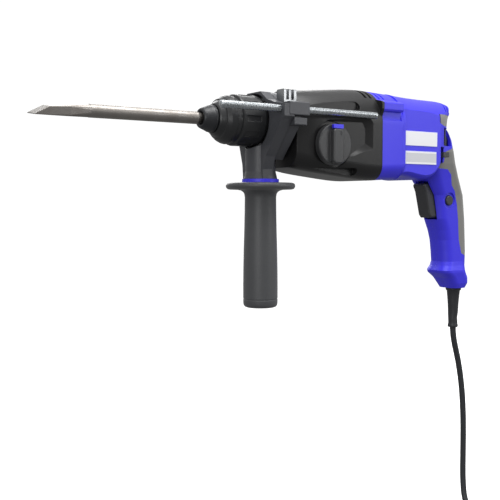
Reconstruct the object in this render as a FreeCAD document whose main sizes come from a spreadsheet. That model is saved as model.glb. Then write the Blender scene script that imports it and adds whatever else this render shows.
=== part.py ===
"""Rotary hammer with a side handle, depth rod, flat chisel and mains lead.

Millimetres, +Z up, +X from the chisel towards the rear.  Every piece is drawn
about the spindle axis (X axis, chuck face near x = 0) and is then placed so
that the middle of the pistol grip is the origin of the part.
"""
import FreeCAD, Part

import math
import os

import Sketcher

Vector = FreeCAD.Vector
Rotation = FreeCAD.Rotation
Placement = FreeCAD.Placement

doc = FreeCAD.newDocument("rotary_hammer")
sheet = doc.addObject("Spreadsheet::Sheet", "Sheet")

SIZES = {
    # chisel
    "shank_dia": 10.0, "shaft_dia": 12.7, "chisel_reach": 174.0, "blade_start": 120.0,
    "blade_width": 20.0, "shank_end": 58.0, "chisel_roll": 8.0,
    # chuck
    "sleeve_dia": 52.8, "sleeve_rear": 64.0, "sleeve_ring_dia": 50.0, "cap_dia": 27.8,
    "nose_dia": 18.0, "sleeve_bore": 18.4, "roller_dia": 7.0, "roller_at": 30.0,
    # spindle and hammer mechanism
    "spindle_dia": 27.0, "spindle_end": 136.0, "tube_bore": 22.12, "bolt_bore": 14.12,
    "piston_dia": 22.0, "piston_bore": 17.12, "striker_dia": 17.0, "fit": 0.06,
    "pin_dia": 13.0, "finger_dia": 6.8, "wobble_at": 150.0, "ball_seat": 13.2,
    # gears, all of module 1
    "gear_module": 1.0, "spindle_teeth": 50.0, "counter_teeth": 13.0,
    "wheel_teeth": 36.0, "motor_teeth": 9.0, "backlash": 0.3,
    "counter_dia": 10.0, "motor_shaft_dia": 8.0,
    # motor
    "stator_dia": 66.0, "armature_dia": 39.0, "fan_dia": 62.0, "stack_front": 224.0,
    "stack_rear": 262.0,
    # housings
    "neck_dia": 50.0, "gear_front": 94.0, "gear_rear": 205.0, "pot_rear": 237.0,
    "body_half": 42.0, "rail_half": 44.5, "rear_half": 41.0, "pocket_half": 37.0, "body_top": 41.4,
    "body_bottom": 60.0, "wall": 3.0, "grip_half": 17.0,
    # mode knob
    "knob_x": 135.0, "knob_z": -23.7, "knob_dia": 44.0, "knob_face": 46.0, "knob_bar": 52.0,
    # trigger and buttons
    "trigger_half": 9.5, "lock_x": 337.0, "lock_z": -82.4, "lock_dia": 12.0,
    # side handle
    "handle_x": 70.8, "flange_dia": 73.4, "grip_dia": 33.0, "grip_end_dia": 36.8,
    "flange_top": -63.5, "grip_bottom": -195.6, "stem_dia": 32.0,
    "band_front": 74.0, "band_rear": 91.0,
    # depth rod
    "rod_dia": 7.2, "rod_y": -47.0, "rod_z": 9.3, "rod_front": -7.5, "rod_rear": 191.0,
    # lead
    "lead_dia": 7.5, "relief_x": 367.5, "relief_top": -189.0, "relief_end": -243.0,
    "coil_mid": 41.25, "coil_x": 336.25, "coil_y": -102.0, "floor": -520.0,
    "plug_width": 36.0, "plug_length": 42.0, "plug_pin_dia": 4.8, "plug_pin_gap": 19.0,
    # place of the grip's middle, the origin of the part
    "grip_x": 345.0, "grip_z": -110.0,
}
for row, (alias, number) in enumerate(SIZES.items(), start=1):
    sheet.set(f"A{row}", alias)
    sheet.set(f"B{row}", str(number))
    sheet.setAlias(f"B{row}", alias)
doc.recompute()


class Dim:
    """A size: its number, and the expression that keeps it tied to the sheet."""

    def __init__(self, number, text):
        self.number = float(number)
        self.text = text

    def join(self, sign, other, number):
        return Dim(number, f"({self.text} {sign} {size(other).text})")

    def __add__(self, other):
        return self.join("+", other, self.number + size(other).number)

    def __sub__(self, other):
        return self.join("-", other, self.number - size(other).number)

    def __mul__(self, other):
        return self.join("*", other, self.number * size(other).number)

    def __truediv__(self, other):
        return self.join("/", other, self.number / size(other).number)

    def __radd__(self, other):
        return size(other) + self

    def __rsub__(self, other):
        return size(other) - self

    def __rmul__(self, other):
        return size(other) * self

    def __neg__(self):
        return Dim(-self.number, f"(-1 * {self.text})")

    def __float__(self):
        return self.number


def size(value):
    """Any number or Dim, as a Dim."""
    return value if isinstance(value, Dim) else Dim(value, f"({value:.6g})")


def dim(alias):
    """The named cell of the sheet."""
    return Dim(getattr(sheet, alias), f"Sheet.{alias}")


def bind(obj, name, value):
    """Set a property, with an expression where the value comes from the sheet."""
    value = size(value)
    if "Sheet." in value.text:
        obj.setExpression(name, value.text)
    else:
        head, _, tail = name.rpartition(".")
        if head:
            base = obj.Placement.Base
            setattr(base, tail, value.number)
            obj.Placement = Placement(base, obj.Placement.Rotation)
        else:
            setattr(obj, name, value.number)


# a piece drawn about its own Z axis is turned to lie along one of these
TURN = {
    "X": Rotation(Vector(0, 1, 0), 90),
    "Y": Rotation(Vector(1, 0, 0), -90),
    "Z": Rotation(),
}
parts = []


def put(obj, at, turn=None):
    """Give an object its place, each coordinate tied to the sheet where it is named there."""
    obj.Placement = Placement(Vector(*(float(value) for value in at)), turn or Rotation())
    for letter, value in zip("xyz", at):
        if "Sheet." in size(value).text:
            obj.setExpression(f".Placement.Base.{letter}", size(value).text)
    return obj


def box(name, start, end):
    """A block between two corners."""
    obj = doc.addObject("Part::Box", name)
    for side, low, high in zip(("Length", "Width", "Height"), start, end):
        bind(obj, side, size(high) - size(low))
    return put(obj, start)


def cylinder(name, radius, start, length, axis="X"):
    """A round bar from a point along an axis."""
    obj = doc.addObject("Part::Cylinder", name)
    bind(obj, "Radius", radius)
    bind(obj, "Height", length)
    return put(obj, start, TURN[axis])


def cone(name, radius_low, radius_high, start, length, axis="X"):
    """A tapered round bar from a point along an axis."""
    obj = doc.addObject("Part::Cone", name)
    bind(obj, "Radius1", radius_low)
    bind(obj, "Radius2", radius_high)
    bind(obj, "Height", length)
    return put(obj, start, TURN[axis])


def fuse(name, *pieces):
    """Several objects as one."""
    obj = doc.addObject("Part::MultiFuse", name)
    obj.Shapes = list(pieces)
    obj.Refine = True
    return obj


def cut(name, base, *tools):
    """An object with others taken out of it."""
    obj = doc.addObject("Part::Cut", name)
    obj.Base = base
    obj.Tool = tools[0] if len(tools) == 1 else fuse(name + "_tools", *tools)
    obj.Refine = True
    return obj


def common(name, first, second):
    """What two objects share."""
    obj = doc.addObject("Part::Common", name)
    obj.Base = first
    obj.Tool = second
    obj.Refine = True
    return obj


def compound(name, *pieces):
    """Separate solids of one kind, kept as a group."""
    obj = doc.addObject("Part::Compound", name)
    obj.Links = list(pieces)
    return obj


def rounded(name, base, radius, test, kind="Part::Fillet"):
    """Round or bevel the edges of an object that a test picks."""
    doc.recompute()
    obj = doc.addObject(kind, name)
    obj.Base = base
    radius = float(radius)
    picks = [(number, radius, radius) for number, edge in enumerate(base.Shape.Edges, start=1)
             if test(edge)]
    if not picks:
        raise ValueError(f"{name}: no edge was picked")
    obj.Edges = picks
    return obj


def along(letter):
    """A test for straight edges that run along an axis."""
    def test(edge):
        if edge.Curve.TypeId != "Part::GeomLine":
            return False
        return abs(getattr(edge.Curve.Direction, letter)) > 0.999
    return test


def any_edge(edge):
    """A test that picks every edge with a length."""
    return edge.Length > 0.01


def sketch_in(body, name, plane, offset=0.0):
    """A sketch on one of a body's own origin planes."""
    sketch = body.newObject("Sketcher::SketchObject", name)
    face = [item for item in body.Origin.OriginFeatures if item.Role == plane][0]
    sketch.AttachmentSupport = [(face, "")]
    sketch.MapMode = "FlatFace"
    sketch.AttachmentOffset = Placement(Vector(0, 0, float(offset)), Rotation())
    if "Sheet." in size(offset).text:
        sketch.setExpression(".AttachmentOffset.Base.z", size(offset).text)
    return sketch


def pin(sketch, geometry, end, across, up):
    """Fix one end of a sketch line at a place that the sheet drives."""
    for kind, value, axis in (("DistanceX", across, -2), ("DistanceY", up, -1)):
        value = size(value)
        if abs(value.number) < 1e-9:
            sketch.addConstraint(Sketcher.Constraint("PointOnObject", geometry, end, axis))
            continue
        number = sketch.addConstraint(
            Sketcher.Constraint(kind, -1, 1, geometry, end, value.number))
        if "Sheet." in value.text:
            sketch.setExpression(f"Constraints[{number}]", value.text)


def outline(sketch, points):
    """A closed outline of straight lines through points."""
    spots = [Vector(float(across), float(up), 0) for across, up in points]
    count = len(spots)
    for number in range(count):
        sketch.addGeometry(Part.LineSegment(spots[number], spots[(number + 1) % count]), False)
    for number in range(count):
        sketch.addConstraint(
            Sketcher.Constraint("Coincident", number, 2, (number + 1) % count, 1))
    for number, (across, up) in enumerate(points):
        pin(sketch, number, 1, across, up)


def turned(name, points, at=(0, 0, 0), axis="X"):
    """A body of revolution: points of (radius, distance along the axis)."""
    body = doc.addObject("PartDesign::Body", name)
    sketch = sketch_in(body, name + "_outline", "XZ_Plane")
    outline(sketch, points)
    turn = body.newObject("PartDesign::Revolution", name + "_turn")
    turn.Profile = sketch
    turn.ReferenceAxis = (sketch, ["V_Axis"])
    turn.Angle = 360.0
    return put(body, at, TURN[axis])


def padded(name, plane, points, start, end):
    """A body padded from a flat outline; the plane's normal carries start and end."""
    body = doc.addObject("PartDesign::Body", name)
    sketch = sketch_in(body, name + "_outline", plane, start)
    outline(sketch, points)
    pad = body.newObject("PartDesign::Pad", name + "_pad")
    pad.Profile = sketch
    bind(pad, "Length", size(end) - size(start))
    return body


def section(body, name, plane, offset, across, up, radii):
    """A rectangle with rounded corners; radii are for its low and its high side."""
    sketch = sketch_in(body, name, plane, offset)
    left, right = (float(value) for value in across)
    low, high = (float(value) for value in up)
    small, large = (float(value) for value in radii)
    corners = (
        (left + small, low + small, small, 180), (right - small, low + small, small, 270),
        (right - large, high - large, large, 0), (left + large, high - large, large, 90),
    )
    spots = []
    for x, y, radius, angle in corners:
        for turn in (angle, angle + 90):
            turn = math.radians(turn)
            spots.append(Vector(x + radius * math.cos(turn), y + radius * math.sin(turn), 0))
    for number, (x, y, radius, angle) in enumerate(corners):
        circle = Part.Circle(Vector(x, y, 0), Vector(0, 0, 1), radius)
        arc = Part.ArcOfCircle(circle, math.radians(angle), math.radians(angle + 90))
        sketch.addGeometry(arc, False)
        following = spots[(2 * number + 2) % 8]
        sketch.addGeometry(Part.LineSegment(spots[2 * number + 1], following), False)
    for number in range(4):
        arc, line, after = 2 * number, 2 * number + 1, (2 * number + 2) % 8
        sketch.addConstraint(Sketcher.Constraint("Tangent", arc, 2, line, 1))
        sketch.addConstraint(Sketcher.Constraint("Tangent", line, 2, after, 1))
        level = "Horizontal" if number % 2 == 0 else "Vertical"
        sketch.addConstraint(Sketcher.Constraint(level, line))
    for number, radius in enumerate((radii[0], radii[0], radii[1], radii[1])):
        place = sketch.addConstraint(Sketcher.Constraint("Radius", 2 * number, float(radius)))
        if "Sheet." in size(radius).text:
            sketch.setExpression(f"Constraints[{place}]", size(radius).text)
    sides = (("DistanceY", 1, up[0]), ("DistanceX", 3, across[1]),
             ("DistanceY", 5, up[1]), ("DistanceX", 7, across[0]))
    for kind, line, value in sides:
        number = sketch.addConstraint(
            Sketcher.Constraint(kind, -1, 1, line, 1, float(value)))
        if "Sheet." in size(value).text:
            sketch.setExpression(f"Constraints[{number}]", size(value).text)
    return sketch


def lofted(name, plane, rows, ruled=False):
    """A body lofted through rounded rectangles: rows of (offset, across, up, radii)."""
    body = doc.addObject("PartDesign::Body", name)
    sections = [section(body, f"{name}_{number}", plane, *row)
                for number, row in enumerate(rows)]
    loft = body.newObject("PartDesign::AdditiveLoft", name + "_loft")
    loft.Profile = sections[0]
    loft.Sections = sections[1:]
    loft.Ruled = ruled
    return body


def made(name, shape):
    """A piece whose shape comes from a formula."""
    obj = doc.addObject("Part::Feature", name)
    obj.Shape = shape
    return obj


def node(label, obj):
    """Name a finished piece and list it for export."""
    obj.Label = label
    parts.append((label, obj))
    return obj


# --------------------------------------------------------------------- chisel
shank = dim("shank_dia") / 2
shaft = dim("shaft_dia") / 2
blade_from = -dim("blade_start")
blade = lofted("blade", "YZ_Plane", [
    (-dim("chisel_reach"), (-dim("blade_width") / 2, dim("blade_width") / 2), (-5.8, -5.1), (0.3, 0.3)),
    (-dim("chisel_reach") + 14, (-dim("blade_width") / 2, dim("blade_width") / 2), (-5.9, 2.4), (0.8, 0.8)),
    (-dim("chisel_reach") + 34, (-dim("blade_width") / 2 + 1.2, dim("blade_width") / 2 - 1.2),
     (-6.0, 4.2), (1.8, 1.8)),
    (blade_from + 2, (-shaft + 0.3, shaft - 0.3), (-shaft + 0.3, shaft - 0.3), (shaft - 0.9, shaft - 0.9)),
], ruled=True)
blade.Placement = Placement(Vector(), Rotation(Vector(1, 0, 0), float(dim("chisel_roll"))))
bar = turned("chisel_bar", [
    (0, blade_from), (shaft, blade_from), (shaft, -7), (shaft - 0.8, -4), (shank, -1),
    (shank, dim("shank_end") - 1.5), (shank - 1.5, dim("shank_end")), (0, dim("shank_end")),
])
pocket_depth = 6.6
pockets = [cylinder(f"ball_pocket_{side}", dim("roller_dia") / 2 + 0.1,
                    (dim("roller_at") - 4.5, side * pocket_depth, 0), 17) for side in (-1, 1)]
flutes = [box(f"drive_flute_{side}", (24, -1.6, side * 4.3 - 1), (dim("shank_end") + 1, 1.6, side * 4.3 + 1))
          for side in (-1, 1)]
chisel = cut("chisel_cut", fuse("chisel_solid", blade, bar), *pockets, *flutes)
node("flat_chisel", chisel)

# ---------------------------------------------------------------------- chuck
nose = dim("nose_dia") / 2
cap = dim("cap_dia") / 2
node("dust_cap", turned("dust_cap", [
    (shank + 0.5, 0.5), (shank + 2.6, -2.6), (cap - 5.2, -2.6), (cap - 3.7, -1.4), (cap - 2.1, 2.6),
    (cap - 0.5, 6.5), (cap, 9), (cap, 11.2), (nose, 11.2), (nose, 3), (shank + 0.5, 3),
]))
ring = dim("sleeve_ring_dia") / 2
slide_bore = dim("sleeve_bore") / 2
node("sleeve_ring", turned("sleeve_ring", [
    (slide_bore, 12), (15.2, 12), (16.3, 13.2), (18.8, 17.4), (20.4, 17.9), (23.2, 21.8),
    (ring - 0.4, 25.2), (ring, 27.6), (ring - 0.9, 28.2), (ring - 0.9, 33.4), (10.25, 33.4),
    (10.25, 24), (15, 24), (15, 16),
    (slide_bore, 16),
]))
sleeve = dim("sleeve_dia") / 2
sleeve_rear = dim("sleeve_rear")
sleeve_body = turned("sleeve_body", [
    (slide_bore, 33.4), (ring - 0.9, 33.4), (sleeve - 0.4, 34.4), (sleeve, 36), (sleeve, sleeve_rear - 4),
    (sleeve - 1.2, sleeve_rear - 0.6), (sleeve - 2, sleeve_rear), (sleeve - 3.5, sleeve_rear),
    (sleeve - 3.5, 38), (slide_bore, 38),
])
slots = []
SLOT_COUNT = 10
for number in range(SLOT_COUNT):
    slot = doc.addObject("Part::Box", f"grip_slot_{number}")
    slot.Length = 17
    slot.Width = 6
    slot.Height = 3
    angle = 360.0 * number / SLOT_COUNT + 18
    spot = Rotation(Vector(1, 0, 0), angle).multVec(Vector(37.5, -3, float(sleeve) - 0.9))
    slot.Placement = Placement(spot, Rotation(Vector(1, 0, 0), angle))
    slots.append(slot)
node("locking_sleeve", cut("locking_sleeve_cut", sleeve_body, *slots))
rollers = []
for side in (-1, 1):
    ball = doc.addObject("Part::Sphere", f"roller_{side}")
    bind(ball, "Radius", dim("roller_dia") / 2)
    rollers.append(put(ball, (dim("roller_at"), side * pocket_depth, 0)))
node("locking_balls", compound("locking_ball_pair", *rollers))

# -------------------------------------------------------------------- spindle
spindle = dim("spindle_dia") / 2
spindle_end = dim("spindle_end")
fit = dim("fit")
tube = turned("spindle_body", [
    (shank + fit, 3), (nose - 0.8, 3), (nose, 4), (nose, 46), (spindle, 46), (spindle, spindle_end),
    (dim("tube_bore") / 2, spindle_end), (dim("tube_bore") / 2, 78), (dim("bolt_bore") / 2, 78),
    (dim("bolt_bore") / 2, 62), (shank + fit, 62),
])
windows = [cylinder(f"ball_window_{side}", dim("roller_dia") / 2 + 0.05,
                    (dim("roller_at"), side * 5.0 - 5.5, 0), 11, axis="Y") for side in (-1, 1)]
node("spindle_tube", cut("spindle_cut", tube, *windows))


def gear_shape(teeth, at, width, phase, bore):
    """A spur gear about X: involute flanks, stub teeth, and the sheet's backlash."""
    module = float(dim("gear_module"))
    pitch = module * teeth / 2
    base = pitch * math.cos(math.radians(20))
    root, tip = pitch - 0.95 * module, pitch + 0.72 * module

    def half_angle(radius):
        def involute(r):
            pressure = math.acos(min(1.0, base / r))
            return math.tan(pressure) - pressure
        gap = float(dim("backlash")) / (2 * pitch)
        return math.pi / (2 * teeth) - gap / 2 + involute(pitch) - involute(max(radius, base))

    levels = [root, max(root, base) + 0.02, pitch, (pitch + tip) / 2, tip]
    corners = []
    for tooth in range(int(teeth)):
        middle = phase + 2 * math.pi * tooth / teeth
        for side, radii in ((-1, levels), (1, levels[::-1])):
            for radius in radii:
                turn = middle + side * half_angle(radius)
                corners.append(Vector(at[0], at[1] + radius * math.sin(turn),
                                      at[2] + radius * math.cos(turn)))
    face = Part.Face(Part.makePolygon(corners + [corners[0]]))
    solid = face.extrude(Vector(width, 0, 0))
    if bore:
        centre = Vector(at[0] - 1, at[1], at[2])
        solid = solid.cut(Part.makeCylinder(bore, width + 2, centre, Vector(1, 0, 0)))
    return solid


module = dim("gear_module")
counter_z = -module * (dim("spindle_teeth") + dim("counter_teeth")) / 2
motor_z = counter_z + module * (dim("wheel_teeth") + dim("motor_teeth")) / 2
spindle_teeth = float(dim("spindle_teeth"))
counter_teeth = float(dim("counter_teeth"))
wheel_teeth = float(dim("wheel_teeth"))
motor_teeth = float(dim("motor_teeth"))
node("spindle_gear", made("spindle_gear", gear_shape(
    spindle_teeth, (105, 0, 0), 12, math.pi, float(spindle))))
node("clutch_plates", compound("clutch_stack", *(
    turned(f"clutch_plate_{number}", [
        (spindle, 98.4 + 2.2 * number), (21, 98.9 + 2.2 * number), (21, 100.2 + 2.2 * number),
        (spindle, 100.2 + 2.2 * number),
    ]) for number in range(3))))

# ----------------------------------------------------------- hammer mechanism
bolt = dim("bolt_bore") / 2 - fit
node("impact_bolt", turned("impact_bolt", [
    (0, 64), (3.6, 64), (4.8, 65.2), (4.8, 68), (bolt, 68.8), (bolt, 84), (dim("piston_dia") / 2, 84),
    (dim("piston_dia") / 2, 88), (7.5, 89), (0, 89),
]))
striker = dim("striker_dia") / 2
node("striker", turned("striker", [
    (0, 100), (5, 100), (6, 101), (6, 106), (striker, 107.5), (striker, 116), (striker - 1.5, 116),
    (striker - 1.5, 119), (striker, 119), (striker, 126), (0, 126),
]))
piston = dim("piston_dia") / 2
pin_radius = dim("pin_dia") / 2
wobble_at = dim("wobble_at")
piston_body = turned("piston_body", [
    (dim("piston_bore") / 2, 96), (piston, 96), (piston, 160), (0, 160), (0, 133),
    (dim("piston_bore") / 2, 133),
])
fork_slot = box("fork_slot", (138, -7.5, -12), (162, 7.5, 12))
pin_hole = cylinder("pin_hole", pin_radius, (wobble_at, -12, 0), 24, axis="Y")
node("hammer_piston", cut("piston_cut", piston_body, fork_slot, pin_hole))
pin_bar = cylinder("pin_bar", pin_radius, (wobble_at, -8.6, 0), 17.2, axis="Y")
pin_eye = cylinder("pin_eye", 4.6, (wobble_at, 0, -8), 16, axis="Z")
node("piston_pin", cut("piston_pin_cut", pin_bar, pin_eye))

seat = dim("ball_seat")
ring_bar = turned("wobble_ring_bar", [
    (9, -6), (17.6, -6), (17.6, 6), (9, 6),
], at=(wobble_at, 0, counter_z))
seat_ball = doc.addObject("Part::Sphere", "wobble_seat")
bind(seat_ball, "Radius", seat)
put(seat_ball, (wobble_at, 0, counter_z))
finger = cylinder("wobble_finger", dim("finger_dia") / 2, (wobble_at, 0, counter_z + 15),
                  20.5, axis="Z")
node("wobble_ring", cut("wobble_ring_cut", fuse("wobble_ring_solid", ring_bar, finger), seat_ball))

# ---------------------------------------------------------------- countershaft
counter = dim("counter_dia") / 2
shaft_front, shaft_rear = 98.4, 195.5
counter_bar = Part.makeCylinder(float(counter), shaft_rear - shaft_front,
                                Vector(shaft_front, 0, float(counter_z)), Vector(1, 0, 0))
pinion = gear_shape(counter_teeth, (103.5, 0, float(counter_z)), 15, math.pi / counter_teeth, 0)
node("countershaft", made("countershaft", counter_bar.fuse(pinion).removeSplitter()))
node("countershaft_gear", made("countershaft_gear", gear_shape(
    wheel_teeth, (170, 0, float(counter_z)), 10, 0.0, float(counter))))
node("shift_sleeve", turned("shift_sleeve", [
    (counter, 120), (11, 120), (11, 121.5), (8.4, 121.5), (8.4, 132.5), (11, 132.5), (11, 135),
    (counter, 135),
], at=(0, 0, counter_z)))
hub_bar = turned("hub_bar", [(counter, -8), (13, -8), (13, 8), (counter, 8)],
                 at=(wobble_at, 0, counter_z))
hub_ball = doc.addObject("Part::Sphere", "hub_ball")
bind(hub_ball, "Radius", seat - 0.6)
put(hub_ball, (wobble_at, 0, counter_z))
groove = doc.addObject("Part::Torus", "hub_groove")
BALL_RADIUS = 1.7
BALL_TILT = 9.0
groove.Radius1 = 11.2
groove.Radius2 = BALL_RADIUS
put(groove, (wobble_at, 0, counter_z), TURN["X"].multiply(Rotation(Vector(1, 0, 0), BALL_TILT)))
node("wobble_hub", cut("wobble_hub_cut", common("hub_solid", hub_bar, hub_ball), groove))
balls = []
BALL_COUNT = 12
for number in range(BALL_COUNT):
    angle = 2 * math.pi * number / BALL_COUNT
    spot = Vector(11.2 * math.cos(angle), 11.2 * math.sin(angle), 0)
    spot = TURN["X"].multiply(Rotation(Vector(1, 0, 0), BALL_TILT)).multVec(spot)
    ball = doc.addObject("Part::Sphere", f"wobble_ball_{number}")
    ball.Radius = BALL_RADIUS
    put(ball, (wobble_at + spot.x, spot.y, counter_z + spot.z))
    balls.append(ball)
node("wobble_balls", compound("wobble_ball_row", *balls))


def bearing(name, inner, outer, start, width, height):
    """A ball bearing as one ring with its two shields drawn in."""
    return turned(name, [
        (inner, start), (inner + 1.2, start), (inner + 1.6, start + 0.5), (outer - 1.6, start + 0.5),
        (outer - 1.2, start), (outer, start), (outer, start + width), (outer - 1.2, start + width),
        (outer - 1.6, start + width - 0.5), (inner + 1.6, start + width - 0.5),
        (inner + 1.2, start + width), (inner, start + width),
    ], at=(0, 0, height))


motor_shaft = dim("motor_shaft_dia") / 2
node("shaft_bearings", compound("shaft_bearing_group",
    bearing("spindle_bearing_front", spindle + fit, 17, 60, 18, 0),
    bearing("spindle_bearing_rear", spindle + fit, 17.5, 124, 10, 0),
    bearing("countershaft_bearing_front", counter + fit, 9, 98.4, 4.5, counter_z),
    bearing("countershaft_bearing_rear", counter + fit, 9, 188, 7, counter_z),
    bearing("armature_bearing_front", motor_shaft + fit, 11, 188, 7, motor_z),
    bearing("armature_bearing_rear", motor_shaft + fit, 11, 306, 7, motor_z)))
node("spindle_seal", turned("spindle_seal", [
    (spindle + 0.1, 54.2), (17, 54.2), (17, 59.8), (spindle + 0.1, 59.8),
]))
bridge_block = box("bridge_block", (188, -24, -48), (195, 24, 26))
bridge_round = rounded("bridge_round", bridge_block, 9, along("x"))
bridge = cut("bearing_bridge_cut", bridge_round,
    cylinder("bridge_seat_motor", 11, (187, 0, motor_z), 9),
    cylinder("bridge_seat_counter", 9, (187, 0, counter_z), 9))
support_disc = cylinder("support_disc", 22, (124, 0, 0), 10)
support_arm = box("support_arm", (124, -8, 14), (134, 8, 33.4))
support_side = box("support_side", (124, 14, -6), (134, 34, 6))
support = cut("spindle_support_cut",
    fuse("support_solid", support_disc, support_arm, support_side),
    cylinder("support_bore", 17.5, (123, 0, 0), 12),
    cylinder("support_clearance", 13.7, (123, 0, counter_z), 12))
node("bearing_castings", compound("bearing_casting_pair", bridge, support))

# ---------------------------------------------------------------------- motor
rotor_bar = Part.makeCylinder(float(motor_shaft), 322 - 184, Vector(184, 0, float(motor_z)),
                              Vector(1, 0, 0))
motor_pinion = gear_shape(motor_teeth, (167, 0, float(motor_z)), 17, math.pi + math.pi / motor_teeth, 0)
node("armature_shaft", made("armature_shaft", rotor_bar.fuse(motor_pinion)))
armature = dim("armature_dia") / 2
stack_front, stack_rear = dim("stack_front"), dim("stack_rear")
core = turned("armature_core_bar", [
    (motor_shaft, stack_front), (armature, stack_front), (armature, stack_rear), (motor_shaft, stack_rear),
], at=(0, 0, motor_z))
core_slots = []
SLOTS = 12
for number in range(SLOTS):
    turn = Rotation(Vector(1, 0, 0), 360.0 * number / SLOTS)
    slot = doc.addObject("Part::Box", f"core_slot_{number}")
    slot.Length, slot.Width, slot.Height = 60, 2.4, 9
    slot.Placement = Placement(turn.multVec(Vector(210, -1.2, 12)) + Vector(0, 0, float(motor_z)), turn)
    core_slots.append(slot)
node("armature_core", cut("armature_core_cut", core, *core_slots))
node("armature_windings", compound("winding_pair", *(
    turned(f"winding_{number}", [
        (motor_shaft, start), (12, start), (17, start + 2.5), (17, start + 5.5), (12, start + 8),
        (motor_shaft, start + 8),
    ], at=(0, 0, motor_z)) for number, start in enumerate((216, 262)))))
node("commutator", turned("commutator", [
    (motor_shaft, 276), (11, 276), (11, 292), (9, 293.5), (motor_shaft, 293.5),
], at=(0, 0, motor_z)))
fan = dim("fan_dia") / 2
fan_plate = turned("fan_plate", [
    (motor_shaft, 199), (9, 199), (9, 209), (fan, 211), (fan, 213), (motor_shaft, 213),
], at=(0, 0, motor_z))
blades = []
BLADES = 11
for number in range(BLADES):
    turn = Rotation(Vector(1, 0, 0), 360.0 * number / BLADES)
    vane = doc.addObject("Part::Box", f"fan_blade_{number}")
    vane.Length, vane.Width, vane.Height = 11.5, 1.6, 20
    spot = turn.multVec(Vector(200, 4, 9.5)) + Vector(0, 0, float(motor_z))
    vane.Placement = Placement(spot, turn)
    blades.append(vane)
node("cooling_fan", fuse("cooling_fan_solid", fan_plate, *blades))
stator = dim("stator_dia") / 2
node("stator_core", turned("stator_core", [
    (armature + 0.7, stack_front), (stator, stack_front), (stator, stack_rear),
    (armature + 0.7, stack_rear),
], at=(0, 0, motor_z)))
node("field_coils", compound("field_coil_pair", *(
    turned(f"field_coil_{number}", [
        (armature + 2.5, start), (armature + 9, start), (armature + 9, start + 8),
        (armature + 2.5, start + 8),
    ], at=(0, 0, motor_z)) for number, start in enumerate((216, 262)))))
brush_disc = turned("brush_disc", [
    (14, 295), (28, 295), (28, 298), (14, 298),
], at=(0, 0, motor_z))
lever_arm = box("lever_arm", (296, -30, -31), (308, -20, -26))
lever_pad = box("lever_pad", (305, -38.5, -31.5), (314.5, -28, -25.5))
node("brush_plate", fuse("brush_plate_solid", brush_disc, lever_arm, lever_pad))
holders, brushes = [], []
for side in (-1, 1):
    low, high = sorted((side * 12, side * 27))
    block = box(f"holder_block_{side}", (279, low, motor_z - 6), (295, high, motor_z + 6))
    low, high = sorted((side * 11.3, side * 29))
    hole = box(f"holder_hole_{side}", (281, low, motor_z - 4), (291, high, motor_z + 4))
    holders.append(cut(f"holder_{side}", block, hole))
    low, high = sorted((side * 11.3, side * 24))
    brushes.append(box(f"brush_{side}", (281, low, motor_z - 4), (291, high, motor_z + 4)))
node("brush_holders", compound("holder_pair", *holders))
node("carbon_brushes", compound("brush_pair", *brushes))

# --------------------------------------------------------------- gear housing
body_half, body_top, body_bottom = dim("body_half"), dim("body_top"), dim("body_bottom")
gear_front, gear_rear = dim("gear_front"), dim("gear_rear")


def housing_rows(stations, inset):
    """Loft rows across the body: stations of (x, half width, top, bottom), less a wall."""
    rows = []
    for x, half, top, bottom in stations:
        half, top, bottom = size(half) - inset, size(top) - inset, size(bottom) - inset
        rows.append((x, (-half, half), (-bottom, top), (17 - inset, half - 3)))
    return rows


GEAR_STATIONS = [
    (gear_front, body_half - 9, body_top - 7.6, body_bottom - 12.5),
    (gear_front + 16, body_half - 4.5, body_top - 5.8, body_bottom - 9),
    (gear_front + 50, body_half - 1, body_top - 3, body_bottom - 4.7),
    (gear_front + 85, body_half, body_top - 0.2, body_bottom - 1),
    (gear_rear, body_half, body_top, body_bottom),
]
wall = dim("wall")
gear_outer = lofted("gear_outer", "YZ_Plane", housing_rows(GEAR_STATIONS, 0))
inner_stations = [(gear_front + 4, *GEAR_STATIONS[0][1:])] + GEAR_STATIONS[1:-1] + [
    (gear_rear + 1, *GEAR_STATIONS[-1][1:])]
gear_cavity = lofted("gear_cavity", "YZ_Plane", housing_rows(inner_stations, wall))
neck = dim("neck_dia") / 2
knob_x, knob_z, knob = dim("knob_x"), dim("knob_z"), dim("knob_dia") / 2


def long_slot(name, front, rear, low, high, depth):
    """A groove along the left side with a round rear end."""
    half = (high - low) / 2
    bar = box(name + "_bar", (front, -body_half - 3, low), (rear - half, -body_half + depth, high))
    end = cylinder(name + "_end", half, (rear - half, -body_half - 3, low + half), depth + 3, axis="Y")
    return fuse(name, bar, end)


def top_groove(name, front, width, depth):
    """A shallow groove over the top of the housing."""
    outer = cylinder(name + "_outer", 60, (front, 0, 0), width)
    inner = cylinder(name + "_inner", float(body_top) - depth, (front - 1, 0, 0), width + 2)
    top = box(name + "_top", (front, -60, 30), (front + width, 60, 60))
    return common(name, cut(name + "_ring", outer, inner), top)


POCKET_DEPTH = 3.2
POCKET_FLOOR = [(129, 1), (178, 2), (182, -4.5), (182, -20.5), (158, -35), (144, -44), (118, -45), (111, -24)]
POCKET_RIM = [(127, 4), (187, 6), (190.5, 2), (190.5, -26), (159, -36.5), (145, -46), (117, -47), (109, -24)]


def pocket_wire(share):
    """The faceted pocket's outline, from its floor at 0 to the housing's side at 1, and on outwards."""
    depth = float(body_half) - POCKET_DEPTH * (1 - share)
    return Part.makePolygon([
        Vector(low[0] + (high[0] - low[0]) * share, -depth, low[1] + (high[1] - low[1]) * share)
        for low, high in zip(POCKET_FLOOR + POCKET_FLOOR[:1], POCKET_RIM + POCKET_RIM[:1])])


facet_pocket = made("facet_pocket", Part.makeLoft([pocket_wire(0), pocket_wire(2.5)], True, True))


RAIL_FRONT = 202.0


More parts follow.
